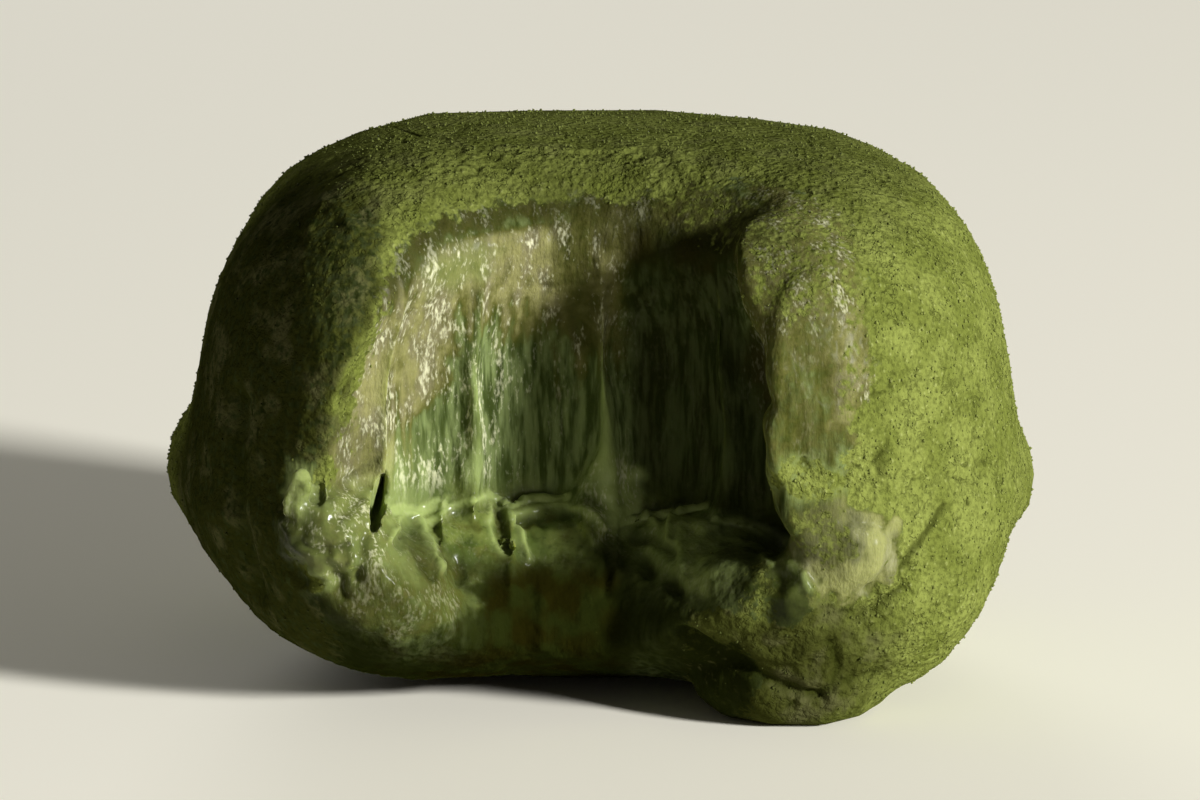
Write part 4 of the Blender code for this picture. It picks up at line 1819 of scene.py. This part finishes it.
@dataclass
class PowderGrains:
    """Loose grains and clumps of tea powder that lie on the skin."""

    dough: Dough
    count: int = 22_000
    smallest: float = 0.03
    typical: float = 0.055
    largest: float = 0.13
    size_spread: float = 0.45
    uneven: tuple[float, float] = (0.6, 1.3)
    lift: float = 0.35
    off_ground: Step = Step(0.6, 2.0)
    dull_loss: float = 0.8
    tones: tuple[float, float] = (0.6, 1.0)
    # painted shade: grains on dull, shaded skin are darker
    dull_shade_tone: float = 0.9
    seed: int = 7
    name: str = "powder_grains"
    piece: bpy.types.Object | None = None

    def build(self) -> None:
        """Scatters the grains as small uneven bits with eight sides each."""
        random = np.random.default_rng(self.seed)
        points, faces, masks = self.dough.points, self.dough.faces, self.dough.masks
        picked = random.choice(len(faces), self.count, p=self.chances())
        weights = random.dirichlet(np.ones(3), self.count)
        middle = (points[faces[picked]] * weights[:, :, None]).sum(1)
        outward = self.dough.normals[faces[picked]].mean(1)
        spread = np.exp(self.size_spread * random.standard_normal(self.count))
        size = np.clip(self.typical * spread, self.smallest, self.largest)
        middle = middle + outward * (self.lift * size)[:, None]

        spikes, sides = np.array(SPIKES, float), np.array(SIDES)
        turns = self.random_turns(random)
        reach = size[:, None] * random.uniform(*self.uneven, (self.count, len(spikes)))
        bits = np.einsum("nij,kj->nki", turns, spikes) * reach[:, :, None] + middle[:, None, :]
        numbers = sides[None] + (np.arange(self.count) * len(spikes))[:, None, None]
        self.piece = mesh_object(self.name, bits.reshape(-1, 3), numbers.reshape(-1, 3))
        dull = masks[Mask.DULL][faces[picked]].mean(1)
        # painted shade: grains on dull, shaded skin are darker
        tone = random.uniform(*self.tones, self.count) * (1.0 - self.dull_shade_tone * dull)
        store(self.piece, Mask.HOLLOW.value, np.repeat(tone, len(spikes)))

    def chances(self) -> Array:
        """How likely a grain is to lie on each of the dough's faces, where all add up to 1.

        Returns:
            A chance for each face.
        """
        faces, masks = self.dough.faces, self.dough.masks
        corners = self.dough.points[faces]
        across, along = corners[:, 1] - corners[:, 0], corners[:, 2] - corners[:, 0]
        area = np.linalg.norm(np.cross(across, along), axis=1) / 2.0
        cover = masks[Mask.POWDER][faces].mean(1) ** 2
        dull = 1.0 - self.dull_loss * masks[Mask.DULL][faces].mean(1)
        chance = area * cover * (self.off_ground(corners[:, :, 2].mean(1)) * dull)
        return chance / chance.sum()

    def random_turns(self, random: np.random.Generator) -> Array:
        """A random rotation for each grain.

        Args:
            random: where the draws come from.

        Returns:
            A matrix for each grain.
        """
        w, x, y, z = random.standard_normal((4, self.count))
        length = np.sqrt(w * w + x * x + y * y + z * z)
        w, x, y, z = w / length, x / length, y / length, z / length
        rows = [
            [1 - 2 * (y * y + z * z), 2 * (x * y - w * z), 2 * (x * z + w * y)],
            [2 * (x * y + w * z), 1 - 2 * (x * x + z * z), 2 * (y * z - w * x)],
            [2 * (x * z - w * y), 2 * (y * z + w * x), 1 - 2 * (x * x + y * y)],
        ]
        return np.moveaxis(np.array(rows), 2, 0)

    def dress(self) -> None:
        """Gives the grains the powder's colours."""
        finish = PowderFinish()
        material, writer = new_material("loose_matcha")
        inputs = {
            "Base Color": writer.mix(writer.mask(Mask.HOLLOW), finish.deep, finish.light),
            "Roughness": finish.roughness,
            "Specular IOR Level": SLIGHT_GLOSS,
        }
        shader = writer.node("ShaderNodeBsdfPrincipled", {}, inputs)
        writer.surface(shader)
        self.piece.data.materials.append(material)
        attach(self.piece, BODY)


@dataclass
class Studio:
    """The plain pale floor, the lights and the camera."""

    aim: Point = (0.0, 0.0, 16.5)
    elevation: float = 12.0
    distance: float = 387.1
    lens: float = 180.0
    sensor: float = 36.0
    view_range: tuple[float, float] = (10.0, 20_000.0)
    floor_size: float = 4000.0
    floor_roughness: float = 0.9
    lamp_distance: float = 1500.0
    room_light: float = 0.1
    pale: Colour = tint(252, 248, 232)

    def build(self) -> None:
        """Sets everything up."""
        self.add_camera()
        self.add_floor()
        self.add_lights()

    def add_camera(self) -> None:
        """The camera looks into the bite, from a little above."""
        tilt = math.radians(self.elevation)
        camera = bpy.data.objects.new("camera", bpy.data.cameras.new("camera"))
        camera.data.lens = self.lens
        camera.data.sensor_width = self.sensor
        camera.data.clip_start, camera.data.clip_end = (length * MM for length in self.view_range)
        back = Vector((0.0, -math.cos(tilt), math.sin(tilt)))
        camera.location = (Vector(self.aim) + back * self.distance) * MM
        camera.rotation_euler = (math.radians(90.0) - tilt, 0.0, 0.0)
        bpy.context.scene.collection.objects.link(camera)
        bpy.context.scene.camera = camera

    def add_floor(self) -> None:
        """A wide pale sheet that the dango stands on."""
        half = self.floor_size / 2.0
        corners = np.array([(-half, -half, 0), (half, -half, 0), (half, half, 0), (-half, half, 0)])
        floor = mesh_object("floor", corners, np.array([[0, 1, 2, 3]]))
        material, writer = new_material("pale_floor")
        inputs = {
            "Base Color": (*self.pale, 1.0),
            "Roughness": self.floor_roughness,
            "Specular IOR Level": SLIGHT_GLOSS,
        }
        writer.surface(writer.node("ShaderNodeBsdfPrincipled", {}, inputs))
        floor.data.materials.append(material)

    def add_lamp(self, name: str, azimuth: float, elevation: float, size: float, power: float) -> None:
        """A square soft light that faces the dango.

        Args:
            name: the lamp's name.
            azimuth: degrees to the right of the camera, seen from the dango.
            elevation: degrees above the floor.
            size: its side, in millimetres.
            power: in watts.
        """
        turn, tilt = math.radians(azimuth), math.radians(elevation)
        level = math.cos(tilt)
        towards = Vector((math.sin(turn) * level, -math.cos(turn) * level, math.sin(tilt)))
        lamp = bpy.data.objects.new(name, bpy.data.lights.new(name, "AREA"))
        lamp.data.size = size * MM
        lamp.data.energy = power
        lamp.location = (Vector(self.aim) + towards * self.lamp_distance) * MM
        lamp.rotation_mode = "QUATERNION"
        lamp.rotation_quaternion = towards.to_track_quat("Z", "Y")
        bpy.context.scene.collection.objects.link(lamp)

    def add_lights(self) -> None:
        """A soft key from the right, a weaker light for the back, and the room's own pale light."""
        self.add_lamp("key", azimuth=54.0, elevation=18.0, size=200.0, power=43.0)
        self.add_lamp("back", azimuth=188.0, elevation=9.0, size=500.0, power=11.0)
        world = bpy.data.worlds.new("room")
        world.use_nodes = True
        background = world.node_tree.nodes["Background"]
        background.inputs["Color"].default_value = (*self.pale, 1.0)
        background.inputs["Strength"].default_value = self.room_light
        bpy.context.scene.world = world
        bpy.context.scene.view_settings.view_transform = "Standard"


def main() -> None:
    """Builds the dough, its loose powder and the studio, and reports each piece."""
    logging.basicConfig(level=logging.INFO, format="%(name)s: %(message)s")
    dough = Dough()
    dough.build()
    dough.dress()
    log.info("%s: %d faces", dough.piece.name, len(dough.piece.data.polygons))
    grains = PowderGrains(dough)
    grains.build()
    grains.dress()
    log.info("%s: %d faces", grains.piece.name, len(grains.piece.data.polygons))
    Studio().build()
    log.info("studio is set up")


if __name__ == "__main__":
    main()
